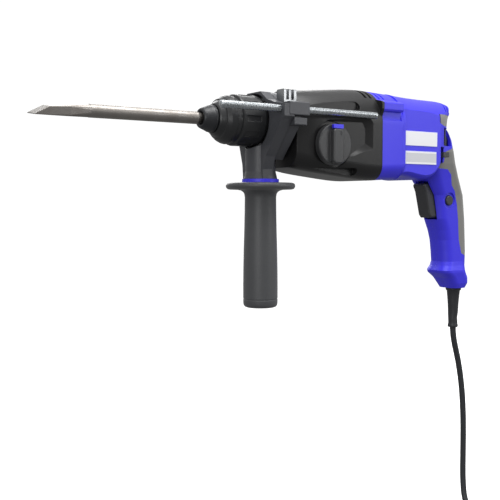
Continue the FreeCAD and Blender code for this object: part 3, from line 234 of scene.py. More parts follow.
class Paint(NodeBench):
    """One procedural material as it is built, on Object coordinates."""

    def __init__(self, name: str) -> None:
        """Starts a material that has only its shader.

        Args:
            name: The material's name.
        """
        self.material = bpy.data.materials.new(name)
        self.material.use_nodes = True
        super().__init__(self.material.node_tree)
        self.shader = self.tree.nodes["Principled BSDF"]

    def place(self, stretch: Point = (1.0, 1.0, 1.0)) -> Signal:
        """The surface point in the piece's own frame.

        Args:
            stretch: How much the pattern is packed along each axis.

        Returns:
            The point, as a vector.
        """
        point = self.node("ShaderNodeTexCoord", {}, {}, "Object")
        if stretch == (1.0, 1.0, 1.0):
            return point
        return self.node("ShaderNodeMapping", {}, {"Vector": point, "Scale": stretch})

    def along(self, axis: Axis) -> Signal:
        """The surface point's coordinate on one axis, in metres."""
        return self.node("ShaderNodeSeparateXYZ", {}, {0: self.place()}, axis.name)

    def noise(self, size: float, detail: float = 2.0, stretch: Point = (1.0, 1.0, 1.0)) -> Signal:
        """A cloudy pattern.

        Args:
            size: The width of one cloud, in metres.
            detail: How many finer layers it has.
            stretch: How much it is packed along each axis.

        Returns:
            The pattern, from zero to one.
        """
        return self.node(
            "ShaderNodeTexNoise", {}, {"Vector": self.place(stretch), "Scale": 1 / size, "Detail": detail}
        )

    def cells(self, size: float) -> Signal:
        """The distance to the middle of the nearest pebble, for a leathery or stippled grain."""
        return self.node("ShaderNodeTexVoronoi", {}, {"Vector": self.place(), "Scale": 1 / size}, "Distance")

    def colour_mix(self, mask: Signal, first: Colour | Signal, second: Colour | Signal) -> Signal:
        """Goes from one colour to another.

        Args:
            mask: Zero for the first colour and one for the second.
            first: A colour.
            second: Another colour.

        Returns:
            The mixed colour.
        """
        ends = [end if isinstance(end, Signal) else (*end, 1.0) for end in (first, second)]
        return self.node("ShaderNodeMix", {"data_type": "RGBA"}, {0: mask, 6: ends[0], 7: ends[1]}, 2)

    def rounding(self, radius: float) -> Signal:
        """The normal as if every hard edge had that radius, in metres."""
        return self.node("ShaderNodeBevel", {"samples": 4}, {"Radius": radius})

    def edges(self, rounded: Signal) -> Signal:
        """A mask of the edges that a rounded normal softens.

        Args:
            rounded: The rounded normal.

        Returns:
            Zero on flat ground, near one on an edge.
        """
        flat = self.node("ShaderNodeNewGeometry", {}, {}, "Normal")
        likeness = self.node("ShaderNodeVectorMath", {"operation": "DOT_PRODUCT"}, {0: rounded, 1: flat}, "Value")
        return (1.0 - likeness).spread(0.01, 0.22)

    def bump(self, height: Signal, depth: float, normal: Signal | None = None) -> Signal:
        """Raises the surface by a pattern.

        Args:
            height: The pattern, from zero to one.
            depth: Its depth in metres.
            normal: The normal that it starts from.

        Returns:
            The bumped normal.
        """
        sockets: dict[str | int, object] = {"Height": height, "Distance": depth, "Strength": 1.0}
        if normal is not None:
            sockets["Normal"] = normal
        return self.node("ShaderNodeBump", {}, sockets)

    def done(self, **sockets: object) -> bpy.types.Material:
        """Sets the shader's sockets.

        Args:
            **sockets: Values or signals by socket name, with _ for each space.

        Returns:
            The finished material.
        """
        for name, value in sockets.items():
            self.feed(self.shader.inputs[name.replace("_", " ")], value)
        return self.material


def shade(colour: Colour, factor: float) -> Colour:
    """The colour made darker or lighter by a factor."""
    return tuple(min(1.0, part * factor) for part in colour)


@dataclass(frozen=True)
class Moulded:
    """Injection-moulded plastic or rubber with an eroded grain, and edges painted lighter: partly rubbed wear, partly
    painted highlight.
    """

    colour: Colour
    roughness: float
    grain: float = 0.0007
    depth: float = 0.00006
    edge: float = 0.0006
    # How much lighter the edges are painted: partly wear, partly painted highlight.
    edge_wear_and_highlight_gain: float = 1.25
    mottle: float = 0.08
    sheen: float = 0.0
    coat: float = 0.0
    specular: float = 0.5

    def dress(self, name: str) -> bpy.types.Material:
        """Builds the material."""
        paint = Paint(name)
        cloud = paint.noise(0.045, 3.0)
        speck = paint.noise(self.grain * 2.2, 3.0)
        rounded = paint.rounding(self.edge)
        # Edge mask: partly rubbed wear, partly a painted highlight where light catches each edge.
        edge_wear_and_highlight = paint.edges(rounded) * paint.noise(0.006, 2.0).spread(0.25, 0.7)
        body = paint.colour_mix(cloud * 0.6 + speck * 0.4, shade(self.colour, 1 - self.mottle),
                                shade(self.colour, 1 + self.mottle))
        # Edges lightened in colour: partly wear, partly painted highlight.
        colour = paint.colour_mix(edge_wear_and_highlight * 0.6, body, shade(self.colour, self.edge_wear_and_highlight_gain))
        grain = paint.cells(self.grain) * 0.7 + speck * 0.3
        return paint.done(
            Base_Color=colour,
            Roughness=speck * 0.12 + (self.roughness - 0.06) - edge_wear_and_highlight * 0.08,
            Normal=paint.bump(grain, self.depth, rounded),
            Sheen_Weight=self.sheen,
            Coat_Weight=self.coat,
            Coat_Roughness=0.3,
            Specular_IOR_Level=self.specular,
        )


@dataclass(frozen=True)
class WorkedSteel:
    """Steel or alloy with the lines of its grinding or turning, and a faint stain."""

    colour: Colour
    stain: Colour
    roughness: float
    lines: Axis = Axis.X
    line: float = 0.0004
    depth: float = 0.00003
    edge: float = 0.0003
    metallic: float = 1.0

    def dress(self, name: str) -> bpy.types.Material:
        """Builds the material."""
        paint = Paint(name)
        stretch = tuple(0.04 if axis is self.lines else 1.0 for axis in Axis)
        scratch = paint.noise(self.line, 3.0, stretch)
        blotch = paint.noise(0.012, 4.0).spread(0.38, 0.72)
        rounded = paint.rounding(self.edge)
        # Edges painted lighter in colour: partly worn bright metal, partly painted highlight.
        edge_wear_and_highlight = paint.edges(rounded)
        body = paint.colour_mix(blotch * 0.7 + scratch * 0.3, self.colour, self.stain)
        return paint.done(
            Base_Color=paint.colour_mix(edge_wear_and_highlight * 0.5, body, shade(self.colour, 1.35)),
            Metallic=self.metallic,
            Roughness=scratch * 0.16 + blotch * 0.10 + (self.roughness - 0.13),
            Normal=paint.bump(scratch, self.depth, rounded),
        )


@dataclass(frozen=True)
class Spangled:
    """Zinc plate with its small crystals and fine ridges across the rod."""

    colour: Colour = (0.50, 0.53, 0.55)
    crystal: float = 0.0011

    def dress(self, name: str) -> bpy.types.Material:
        """Builds the material."""
        paint = Paint(name)
        crystals = paint.node(
            "ShaderNodeTexVoronoi", {}, {"Vector": paint.place(), "Scale": 1 / self.crystal}, "Color"
        )
        facet = paint.node("ShaderNodeSeparateColor", {}, {0: crystals})
        smear = paint.noise(0.004, 4.0, (0.2, 1.0, 1.0))
        return paint.done(
            Base_Color=paint.colour_mix(facet * 0.6 + smear * 0.4, shade(self.colour, 0.72), shade(self.colour, 1.2)),
            Metallic=1.0,
            Roughness=facet * 0.14 + smear * 0.12 + 0.16,
            Normal=paint.bump(facet * 0.4 + smear * 0.6, 0.00008, paint.rounding(0.0003)),
        )


@dataclass(frozen=True)
class Banded:
    """Something laid in fine even bands: stacked laminations or wound wire."""

    colour: Colour
    gap: Colour
    pitch: float
    axis: Axis
    metallic: float
    roughness: float

    def dress(self, name: str) -> bpy.types.Material:
        """Builds the material."""
        paint = Paint(name)
        wave = paint.node(
            "ShaderNodeTexWave",
            {"bands_direction": self.axis.name, "wave_profile": "SIN"},
            {"Vector": paint.place(), "Scale": 0.314 / self.pitch, "Distortion": 0.6, "Detail": 1.0},
            "Fac",
        )
        stain = paint.noise(0.006, 3.0)
        band = wave.spread(0.1, 0.6)
        return paint.done(
            Base_Color=paint.colour_mix(band * (stain * 0.5 + 0.6), self.gap, self.colour),
            Metallic=self.metallic,
            Roughness=stain * 0.2 + (self.roughness - 0.1),
            Normal=paint.bump(band, self.pitch * 0.3),
        )


@dataclass(frozen=True)
class PrintedPlate:
    """Blank label plates: a white plate above and an off-white one with a white border below."""

    white: Colour = (0.84, 0.85, 0.89)
    field_colour: Colour = (0.60, 0.61, 0.65)
    low: tuple[float, float] = (-0.102, -0.048)
    height: tuple[float, float] = (0.0693, 0.084)
    border: float = 0.0022

    def dress(self, name: str) -> bpy.types.Material:
        """Builds the material."""
        paint = Paint(name)
        across, up = paint.along(Axis.X), paint.along(Axis.Z)
        inside = (
            (across > self.low[0] + self.border) * (across < self.low[1] - self.border)
            * (up > self.height[0] + self.border) * (up < self.height[1] - self.border)
        )
        fleck = paint.noise(0.0006, 2.0)
        return paint.done(
            Base_Color=paint.colour_mix(inside * (0.9 + fleck * 0.1), self.white, self.field_colour),
            Roughness=fleck * 0.1 + 0.32,
            Normal=paint.bump(1.0 - inside * 0.5 + fleck * 0.06, 0.00008, paint.rounding(0.0003)),
            Coat_Weight=0.3,
            Coat_Roughness=0.2,
        )


@dataclass(frozen=True)
class PinMetal:
    """Nickel-plated plug pins with an insulating sleeve near the plug."""

    colour: Colour = (0.72, 0.70, 0.66)
    sleeve: Colour = (0.02, 0.02, 0.022)
    sleeve_end: float = 0.005

    def dress(self, name: str) -> bpy.types.Material:
        """Builds the material."""
        paint = Paint(name)
        bare = paint.along(Axis.Y) > self.sleeve_end
        rub = paint.noise(0.002, 3.0, (1.0, 0.1, 1.0))
        return paint.done(
            Base_Color=paint.colour_mix(bare, self.sleeve, self.colour),
            Metallic=bare,
            Roughness=rub * 0.15 + 0.42 - bare * 0.22,
            Normal=paint.bump(rub, 0.00003),
        )


FINISHES: dict[Slot, object] = {
    Slot.TOOL_STEEL: WorkedSteel((0.335, 0.315, 0.295), (0.25, 0.23, 0.21), 0.44, Axis.X, 0.0009, 0.00005),
    Slot.DARK_STEEL: WorkedSteel((0.20, 0.20, 0.21), (0.13, 0.12, 0.12), 0.36),
    Slot.BEARING_STEEL: WorkedSteel((0.62, 0.62, 0.63), (0.50, 0.50, 0.52), 0.22),
    Slot.ZINC_ROD: Spangled(),
    Slot.PLATED_STRAP: WorkedSteel((0.40, 0.41, 0.42), (0.28, 0.29, 0.30), 0.30, Axis.Z),
    Slot.STRAP_STEEL: WorkedSteel((0.34, 0.35, 0.36), (0.24, 0.25, 0.26), 0.32, Axis.Z),
    Slot.CAST_ALLOY: WorkedSteel((0.52, 0.53, 0.54), (0.42, 0.43, 0.44), 0.5, Axis.X, 0.0012, 0.0001),
    Slot.CAP_RUBBER: Moulded((0.014, 0.015, 0.018), 0.42, 0.0008, 0.00004, 0.0005, 1.6),
    Slot.SLEEVE_PLASTIC: Moulded((0.015, 0.0155, 0.017), 0.34, 0.0006, 0.00004, 0.0007, 1.9),
    Slot.GEAR_CASE_PLASTIC: Moulded((0.012, 0.012, 0.0125), 0.36, 0.0008, 0.00005, 0.0009, 2.4, specular=0.34),
    Slot.KNOB_PLASTIC: Moulded((0.036, 0.037, 0.039), 0.40, 0.0007, 0.00004, 0.0007, 1.7),
    Slot.BLUE_PLASTIC: Moulded((0.046, 0.036, 0.80), 0.42, 0.0008, 0.00003, 0.0009, 1.25, 0.05),
    Slot.SOFT_GREY: Moulded((0.20, 0.196, 0.188), 0.62, 0.0009, 0.00008, 0.0006, 1.15, 0.07, 0.2),
    Slot.SLATE_PLASTIC: Moulded((0.058, 0.060, 0.068), 0.42, 0.0009, 0.00006, 0.0008, 1.6),
    Slot.SIDE_GRIP_RUBBER: Moulded((0.060, 0.062, 0.066), 0.44, 0.0010, 0.00010, 0.0008, 1.3, 0.14, 0.15),
    Slot.TRIGGER_PLASTIC: Moulded((0.036, 0.037, 0.039), 0.42, 0.0008, 0.00005, 0.0009, 1.6),
    Slot.LABEL_WHITE: PrintedPlate(),
    Slot.LAMINATION_STEEL: Banded((0.42, 0.42, 0.43), (0.10, 0.10, 0.11), 0.0005, Axis.X, 0.9, 0.42),
    Slot.COPPER_WIRE: Banded((0.72, 0.32, 0.14), (0.24, 0.08, 0.03), 0.0009, Axis.Z, 0.85, 0.32),
    Slot.HOLDER_BRASS: WorkedSteel((0.74, 0.56, 0.26), (0.58, 0.42, 0.18), 0.32, Axis.Y),
    Slot.CARBON: Moulded((0.030, 0.030, 0.032), 0.55, 0.0005, 0.00004, 0.0003, 1.4),
    Slot.CORD_RUBBER: Moulded((0.024, 0.026, 0.030), 0.44, 0.0009, 0.00005, 0.0004, 1.4, 0.12),
    Slot.PIN_METAL: PinMetal(),
}
DRESSED: dict[Slot, bpy.types.Material] = {}


def material_of(slot: Slot) -> bpy.types.Material:
    """The slot's material, built on first use."""
    if slot not in DRESSED:
        DRESSED[slot] = FINISHES[slot].dress(f"{slot.value}_finish")
    return DRESSED[slot]


# ------------------------------------------------------------------- modelling


def deselect() -> None:
    """Leaves nothing selected."""
    bpy.ops.object.select_all(action="DESELECT")


def newest(name: str) -> bpy.types.Object:
    """Names the object that was just added, and puts its place into its mesh.

    Args:
        name: The piece's name.

    Returns:
        The piece.
    """
    piece = bpy.context.object
    piece.name = piece.data.name = name
    bpy.ops.object.transform_apply(location=True, rotation=True, scale=True)
    return piece


@contextmanager
def editing(piece: bpy.types.Object, kind: str = "FACE") -> Iterator[None]:
    """Edit mode on one piece, with nothing selected at first.

    Args:
        piece: The piece.
        kind: VERT, EDGE or FACE.
    """
    deselect()
    piece.select_set(True)
    bpy.context.view_layer.objects.active = piece
    bpy.ops.object.mode_set(mode="EDIT")
    bpy.ops.mesh.select_mode(type=kind)
    bpy.ops.mesh.select_all(action="DESELECT")
    yield
    bpy.ops.object.mode_set(mode="OBJECT")


def pick(piece: bpy.types.Object, kind: str, wanted: Callable[..., bool]) -> None:
    """Selects the elements of a piece in edit mode that pass a test.

    Args:
        piece: The piece.
        kind: verts, edges or faces.
        wanted: The test of one element.
    """
    bpy.ops.mesh.select_all(action="DESELECT")
    mesh = bmesh.from_edit_mesh(piece.data)
    for element in getattr(mesh, kind):
        if wanted(element):
            element.select_set(True)
    mesh.select_flush_mode()
    bmesh.update_edit_mesh(piece.data)


def soften(piece: bpy.types.Object, width: float, segments: int = 3, angle: float = 35.0) -> None:
    """Rounds a piece's hard edges with an applied Bevel modifier.

    Args:
        piece: The piece.
        width: The rounding in metres.
        segments: The faces across it.
        angle: The edge angle in degrees above which an edge is hard.
    """
    modifier = piece.modifiers.new("soft_edges", "BEVEL")
    modifier.width = width
    modifier.segments = segments
    modifier.limit_method = "ANGLE"
    modifier.angle_limit = math.radians(angle)
    apply(piece, modifier)


def apply(piece: bpy.types.Object, modifier: bpy.types.Modifier) -> None:
    """Applies one modifier of a piece."""
    deselect()
    piece.select_set(True)
    bpy.context.view_layer.objects.active = piece
    bpy.ops.object.modifier_apply(modifier=modifier.name)


def joined(name: str, pieces: Sequence[bpy.types.Object]) -> bpy.types.Object:
    """Joins pieces into one.

    Args:
        name: The result's name.
        pieces: The pieces, which it takes in.

    Returns:
        The joined piece.
    """
    deselect()
    for piece in pieces:
        piece.select_set(True)
    bpy.context.view_layer.objects.active = pieces[0]
    bpy.ops.object.join()
    pieces[0].name = pieces[0].data.name = name
    return pieces[0]


def turned(
    name: str, rings: Sequence[Ring], axis: Axis, at: Vector, sides: int = 96, bore: bool = False
) -> bpy.types.Object:
    """A turned body, drawn up ring by ring.

    Args:
        name: The piece's name.
        rings: The place along the axis and the radius of each ring, in metres.
        axis: The axis that it is turned about.
        at: A point on that axis, where the rings' zero is.
        sides: The faces round it.
        bore: Whether the last ring closes on the first, round a bore.

    Returns:
        The piece, in place.
    """
    deselect()
    place, radius = rings[0]
    fill = "NOTHING" if bore else "NGON"
    bpy.ops.mesh.primitive_circle_add(vertices=sides, radius=radius, fill_type=fill, location=(0, 0, place))
    piece = newest(name)
    with editing(piece, "EDGE" if bore else "FACE"):
        bpy.ops.mesh.select_all(action="SELECT")
        for (before, was), (place, radius) in zip(rings, rings[1:]):
            bpy.ops.mesh.extrude_region_move(TRANSFORM_OT_translate={"value": (0, 0, place - before)})
            ratio = radius / was
            bpy.ops.transform.resize(value=(ratio, ratio, 1), center_override=(0, 0, place))
        if bore:
            pick(piece, "edges", lambda edge: edge.is_boundary)
            bpy.ops.mesh.bridge_edge_loops()
        bpy.ops.mesh.select_all(action="SELECT")
        bpy.ops.mesh.normals_make_consistent(inside=False)
    piece.rotation_euler = axis.value
    piece.location = at
    bpy.ops.object.transform_apply(location=True, rotation=True, scale=True)
    return piece


def block(name: str, low: Vector, high: Vector) -> bpy.types.Object:
    """A box between two corners, as the start of a piece.

    Args:
        name: The piece's name.
        low: Its lowest corner.
        high: Its highest corner.

    Returns:
        The box.
    """
    deselect()
    bpy.ops.mesh.primitive_cube_add(size=1, location=(low + high) / 2, scale=high - low)
    return newest(name)


def finished(
    piece: bpy.types.Object, body: str, slot: Slot, replaced: Sequence[str] = (), smooth: float = 32.0
) -> bpy.types.Object:
    """Smooths, dresses and places a piece.

    Args:
        piece: The piece, at its place.
        body: The CAD body that it moves with.
        slot: The material slot that it takes its finish from.
        replaced: The CAD nodes that it stands for.
        smooth: The angle in degrees below which faces shade as one.

    Returns:
        The piece.
    """
    if piece.type == "MESH":
        deselect()
        piece.select_set(True)
        bpy.context.view_layer.objects.active = piece
        bpy.ops.object.shade_smooth_by_angle(angle=math.radians(smooth))
    piece.data.materials.clear()
    piece.data.materials.append(material_of(slot))
    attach(piece, body)
    if replaced:
        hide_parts(*replaced)
    log.info("%s rides on %s", piece.name, body)
    return piece


# ---------------------------------------------------------------- the studio


@dataclass(frozen=True)
class Softbox:
    """A square lamp: its name, where it hangs, its side in metres and its power in watts."""

    name: str
    at: Point
    side: float
    power: float


@dataclass
class Studio:
    """The camera, a pale floor and soft light from above."""

    camera_at: Point = (-0.7488, -0.6970, 0.0276)
    camera_pitch: float = 3.56
    camera_heading: float = 33.5
    lens: float = 57.3
    floor_size: float = 60.0
    backdrop_strength: float = 1.05
    aim: Point = (-0.12, 0.0, 0.05)
    sky: tuple[tuple[float, Colour], ...] = (
        (0.0, (0.24, 0.24, 0.24)),
        (0.46, (0.30, 0.30, 0.30)),
        (0.56, (0.44, 0.44, 0.44)),
        (1.0, (0.88, 0.88, 0.88)),
    )
    lamps: tuple[Softbox, ...] = (
        Softbox("top_softbox", (-0.1, -0.4, 1.5), 1.1, 27),
        Softbox("front_softbox", (-1.5, -1.0, 0.25), 0.7, 6),
        Softbox("side_softbox", (0.9, -1.3, 0.5), 0.6, 4.5),
        Softbox("back_softbox", (0.4, 1.6, 0.9), 1.2, 18),
    )

    def camera(self) -> None:
        """Puts the camera level with the tool, ahead of it on its left."""
        data = bpy.data.cameras.new("camera")
        data.lens = self.lens
        data.sensor_width = 36.0
        data.clip_end = 200.0
        camera = bpy.data.objects.new("camera", data)
        bpy.context.scene.collection.objects.link(camera)
        camera.location = self.camera_at
        camera.rotation_euler = (math.radians(90 - self.camera_pitch), 0, -math.radians(self.camera_heading))
        bpy.context.scene.camera = camera

    def floor(self) -> None:
        """Lays the floor under the lead's coil."""
        deselect()
        level = CAD_BOX[0].z
        bpy.ops.mesh.primitive_plane_add(size=self.floor_size, location=(0, 0, level))
        floor = newest("studio_floor")
        paint = Paint("pale_floor")
        haze = paint.noise(2.0, 1.0)
        floor.data.materials.append(paint.done(
            Base_Color=paint.colour_mix(haze, (0.90, 0.90, 0.90), (0.94, 0.94, 0.94)),
            Roughness=0.9,
            Emission_Color=(1.0, 1.0, 1.0, 1.0),
            Emission_Strength=0.45,
            Specular_IOR_Level=0.0,
        ))
        floor.visible_diffuse = False
        floor.visible_glossy = False

    def sky_light(self) -> None:
        """Lights the scene softly, brighter from above, before a white backdrop."""
        world = bpy.data.worlds.new("studio_sky")
        world.use_nodes = True
        world.node_tree.nodes.remove(world.node_tree.nodes["Background"])
        sky = NodeBench(world.node_tree)
        direction = sky.node("ShaderNodeTexCoord", {}, {}, "Generated")
        rise = sky.node("ShaderNodeSeparateXYZ", {}, {0: direction}, "Z")
        level = sky.node("ShaderNodeMapRange", {}, {0: rise, 1: -1.0})
        shades = sky.node("ShaderNodeValToRGB", {"stops": self.sky}, {0: level})
        light = sky.node("ShaderNodeBackground", {}, {"Color": shades})
        backdrop = sky.node(
            "ShaderNodeBackground", {}, {"Color": (1.0, 1.0, 1.0, 1.0), "Strength": self.backdrop_strength}
        )
        seen = sky.node("ShaderNodeLightPath", {}, {}, "Is Camera Ray")
        choice = sky.node("ShaderNodeMixShader", {}, {0: seen, 1: light, 2: backdrop})
        sky.feed(world.node_tree.nodes["World Output"].inputs["Surface"], choice)
        bpy.context.scene.world = world

    def hang(self, lamp: Softbox) -> None:
        """Hangs a lamp and turns it to the tool."""
        data = bpy.data.lights.new(lamp.name, "AREA")
        data.size = lamp.side
        data.energy = lamp.power
        hung = bpy.data.objects.new(lamp.name, data)
        bpy.context.scene.collection.objects.link(hung)
        hung.location = lamp.at
        hung.rotation_euler = (Vector(self.aim) - Vector(lamp.at)).to_track_quat("-Z", "Y").to_euler()

    def build(self) -> None:
        """Sets up the camera, floor and lights."""
        self.camera()
        self.floor()
        self.sky_light()
        for lamp in self.lamps:
            self.hang(lamp)
        bpy.context.scene.view_settings.view_transform = "Standard"


# ------------------------------------------------------------------ mains lead


@dataclass
class MainsLead:
    """The mains lead: strain relief, a hanging stretch, a stored coil with its tie, and the plug."""

    diameter: float = 0.0075
    length: float = 2.30
    route: tuple[Point, ...] = (
        (0.0225, 0.0, -0.128), (0.0225, 0.0, -0.133), (0.0245, 0.0, -0.150), (0.035, 0.0004, -0.180),
        (0.042, 0.0, -0.217), (0.0448, -0.0004, -0.256), (0.0455, -0.0002, -0.295), (0.0442, -0.0015, -0.335),
        (0.0423, -0.007, -0.362), (0.0408, -0.025, -0.382), (0.040, -0.047, -0.39125), (0.040, -0.067, -0.39125),
    )
    coil_centre: tuple[float, float] = (-0.00875, -0.102)
    turn_radii: tuple[float, float, float] = (0.03375, 0.04125, 0.04875)
    row_heights: tuple[float, float, float] = (-0.40625, -0.39875, -0.39125)
    winding: tuple[tuple[int, int], ...] = (
        (2, 2), (1, 2), (0, 2), (0, 1), (0, 0), (1, 0), (2, 0), (2, 1),
    )
    points_per_turn: int = 24
    run_middle: float = -0.084
    plug_entry: float = -0.063
    tie_wall: float = 0.0012
    relief_rings: tuple[Ring, ...] = (
        (54.0, 3.9), (54.0, 7.4), (51.0, 7.4), (50.8, 9.4), (50.2, 9.6), (48.2, 9.6), (47.4, 9.2), (46.8, 8.5),
        (46.0, 8.1), (40.0, 7.5), (34.0, 7.0), (28.0, 6.6), (20.0, 6.3), (12.0, 6.0), (8.0, 5.8), (5.5, 5.7),
        (4.0, 5.9), (2.8, 6.3), (1.4, 6.4), (0.5, 6.2), (0.0, 5.6), (0.0, 4.0), (8.0, 3.9), (40.0, 3.9),
    )

    dents: tuple[tuple[Point, float, float], ...] = (
        ((-0.9, -0.3, 0.0), 0.020, 0.0013), ((0.2, -1.0, 0.0), 0.013, 0.0010),
    )
    dent_radius: float = 0.0062
    boot_length: float = 0.020
    rib_count: int = 5
    rib_pitch: float = 0.005

    def coil_points(self) -> list[Point]:
        """The control points of the stored turns, wound clockwise from the entry, one layer beside the next."""
        swell = 1 / math.cos(math.pi / self.points_per_turn)
        half_turns = 2 * len(self.winding) - 1
        count = half_turns * self.points_per_turn // 2
        points = []
        for number in range(1, count):
            turn, part = divmod(number / self.points_per_turn, 1.0)
            here = self.winding[int(turn)]
            after = self.winding[min(int(turn) + 1, len(self.winding) - 1)]
            step = min(1.0, max(0.0, (part - 0.78) / 0.22))
            ease = step * step * (3 - 2 * step)
            radius = self._between(self.turn_radii, here[0], after[0], ease) * swell
            height = self._between(self.row_heights, here[1], after[1], ease)
            angle = -2 * math.pi * number / self.points_per_turn
            points.append((
                self.coil_centre[0] + radius * math.cos(angle),
                self.coil_centre[1] + radius * math.sin(angle),
                height,
            ))
        return points

    @staticmethod
    def _between(values: Sequence[float], here: int, after: int, share: float) -> float:
        """The value a share of the way from one entry to another."""
        return values[here] + (values[after] - values[here]) * share

    def lead(self) -> bpy.types.Object:
        """Runs the lead along its route as one smooth line."""
        beside_coil = self.coil_centre[1] + 0.002
        entry_x = self.route[-1][0]
        entry = [(entry_x, place, self.row_heights[2]) for place in (self.run_middle, beside_coil)]
        exit_x = self.coil_centre[0] - self.turn_radii[2]
        end = [(exit_x, place, self.row_heights[1]) for place in (beside_coil, self.run_middle, self.plug_entry)]
        points = [*self.route, *entry, *self.coil_points(), *end]
        curve = bpy.data.curves.new("mains_cord", "CURVE")
        curve.dimensions = "3D"
        curve.bevel_depth = self.diameter / 2
        curve.bevel_resolution = 5
        curve.resolution_u = 5
        curve.use_fill_caps = True
        spline = curve.splines.new("NURBS")
        spline.points.add(len(points) - 1)
        for spot, point in zip(spline.points, points):
            spot.co = (*point, 1.0)
        spline.order_u = 3
        spline.use_endpoint_u = True
        lead = bpy.data.objects.new("mains_cord", curve)
        bpy.context.scene.collection.objects.link(lead)
        return finished(lead, "housing", Slot.CORD_RUBBER, ["mains_lead", "lead_coil"])

    def relief(self) -> bpy.types.Object:
        """Makes the tapered boot, with its collar, end rim and two soft dents."""
        low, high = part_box("strain_relief")
        at = Vector(((low.x + high.x) / 2, (low.y + high.y) / 2, low.z))
        rings = [(place * MM, radius * MM) for place, radius in self.relief_rings]
        piece = turned("strain_relief_boot", rings, Axis.Z, at, 64, bore=True)
        for side, height, depth in self.dents:
            outward = Vector(side).normalized()
            spot = at + outward * self.dent_radius + Vector((0, 0, height))
            with editing(piece, "VERT"):
                pick(piece, "verts", lambda vert: (vert.co - spot).length < 2.6 * MM)
                bpy.ops.transform.translate(
                    value=outward * -depth, use_proportional_edit=True, proportional_edit_falloff="SMOOTH",
                    proportional_size=5 * MM)
        return finished(piece, "housing", Slot.CORD_RUBBER, ["strain_relief"])

    def tie(self) -> bpy.types.Object:
        """Makes the strap that holds the coil together, with its buckle on top."""
        low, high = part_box("lead_tie")
        wall = self.tie_wall
        band = block("coil_strap", low + Vector((0, 0, wall)), high)
        with editing(band, "EDGE"):
            pick(band, "edges", lambda edge: abs(edge.verts[0].co.x - edge.verts[1].co.x) > 1 * MM)
            bpy.ops.mesh.bevel(offset=4 * MM, segments=5, affect="EDGES")
            bpy.ops.mesh.select_mode(type="FACE")
            pick(band, "faces", lambda face: abs(face.normal.x) > 0.9)
            bpy.ops.mesh.delete(type="FACE")
        shell = band.modifiers.new("strap_wall", "SOLIDIFY")
        shell.thickness = wall
        apply(band, shell)
        middle = (low + high) / 2
        buckle = block(
            "strap_buckle",
            Vector((low.x - 1 * MM, middle.y - 5 * MM, high.z - 0.6 * MM)),
            Vector((high.x + 1 * MM, middle.y + 4 * MM, high.z + 1.6 * MM)),
        )
        with editing(buckle):
            pick(buckle, "faces", lambda face: face.normal.z > 0.9)
            bpy.ops.mesh.inset(thickness=1.4 * MM, depth=-0.8 * MM)
        soften(buckle, 0.4 * MM, 2)
        strap = joined("coil_strap", [band, buckle])
        soften(strap, 0.2 * MM, 2, 60)
        return finished(strap, "housing", Slot.CORD_RUBBER, ["lead_tie"])

    def plug(self) -> bpy.types.Object:
        """Makes the plug: a waisted body with finger ribs, and a ribbed boot for the lead."""
        low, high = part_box("mains_plug")
        centre = Vector(((low.x + high.x) / 2, 0, (low.z + high.z) / 2))
        boot_end = low.y + self.boot_length
        body = block("mains_plug_body", Vector((low.x, boot_end, low.z)), high)
        with editing(body, "EDGE"):
            pick(body, "edges", lambda edge: abs(edge.verts[0].co.y - edge.verts[1].co.y) > 1 * MM)
            bpy.ops.mesh.bevel(offset=7 * MM, segments=6, affect="EDGES")
            bpy.ops.mesh.select_mode(type="FACE")
            pick(body, "faces", lambda face: face.normal.y < -0.9)
            bpy.ops.mesh.inset(thickness=3 * MM, depth=0)
            bpy.ops.mesh.extrude_region_move(TRANSFORM_OT_translate={"value": (0, -3 * MM, 0)})
            bpy.ops.transform.resize(value=(0.72, 1, 0.86), center_override=(centre.x, boot_end, centre.z))
            pick(body, "faces", lambda face: face.normal.y > 0.9)
            bpy.ops.mesh.inset(thickness=2.2 * MM, depth=0)
            bpy.ops.mesh.inset(thickness=0.5 * MM, depth=-0.8 * MM)
        soften(body, 0.9 * MM, 3)
        ribs = []
        for number in range(self.rib_count):
            for side in (-1, 1):
                place = boot_end + 12 * MM + number * self.rib_pitch
                edge = high.x if side > 0 else low.x
                rib = block(
                    f"plug_rib_{number}_{side}",
                    Vector((edge - 0.5 * MM, place, centre.z - 4.5 * MM)),
                    Vector((edge + 0.7 * MM, place + 2.2 * MM, centre.z + 4.5 * MM)),
                )
                soften(rib, 0.5 * MM, 2)
                ribs.append(rib)
        rings: list[Ring] = [(0.0, 3.9 * MM), (0.0, 5.0 * MM), (0.6 * MM, 5.4 * MM)]
        for number in range(4):
            start, radius = 2.4 + number * 4.2, 5.5 + number * 0.75
            rings += [
                (start * MM, radius * MM), ((start + 0.5) * MM, (radius - 0.9) * MM),
                ((start + 1.8) * MM, (radius - 0.8) * MM), ((start + 2.3) * MM, (radius + 0.25) * MM),
            ]
        rings += [(19.6 * MM, 8.6 * MM), (21.0 * MM, 8.8 * MM), (21.0 * MM, 3.9 * MM)]
        boot = turned("plug_boot", rings, Axis.Y, Vector((centre.x, low.y, centre.z)), 48, bore=True)
        plug = joined("mains_plug_body", [body, boot, *ribs])
        return finished(plug, "housing", Slot.CORD_RUBBER, ["mains_plug"])

    def build(self) -> None:
        lead = self.lead()
        relief = self.relief()
        tie = self.tie()
        plug = self.plug()


# ----------------------------------------------------------------- the pieces


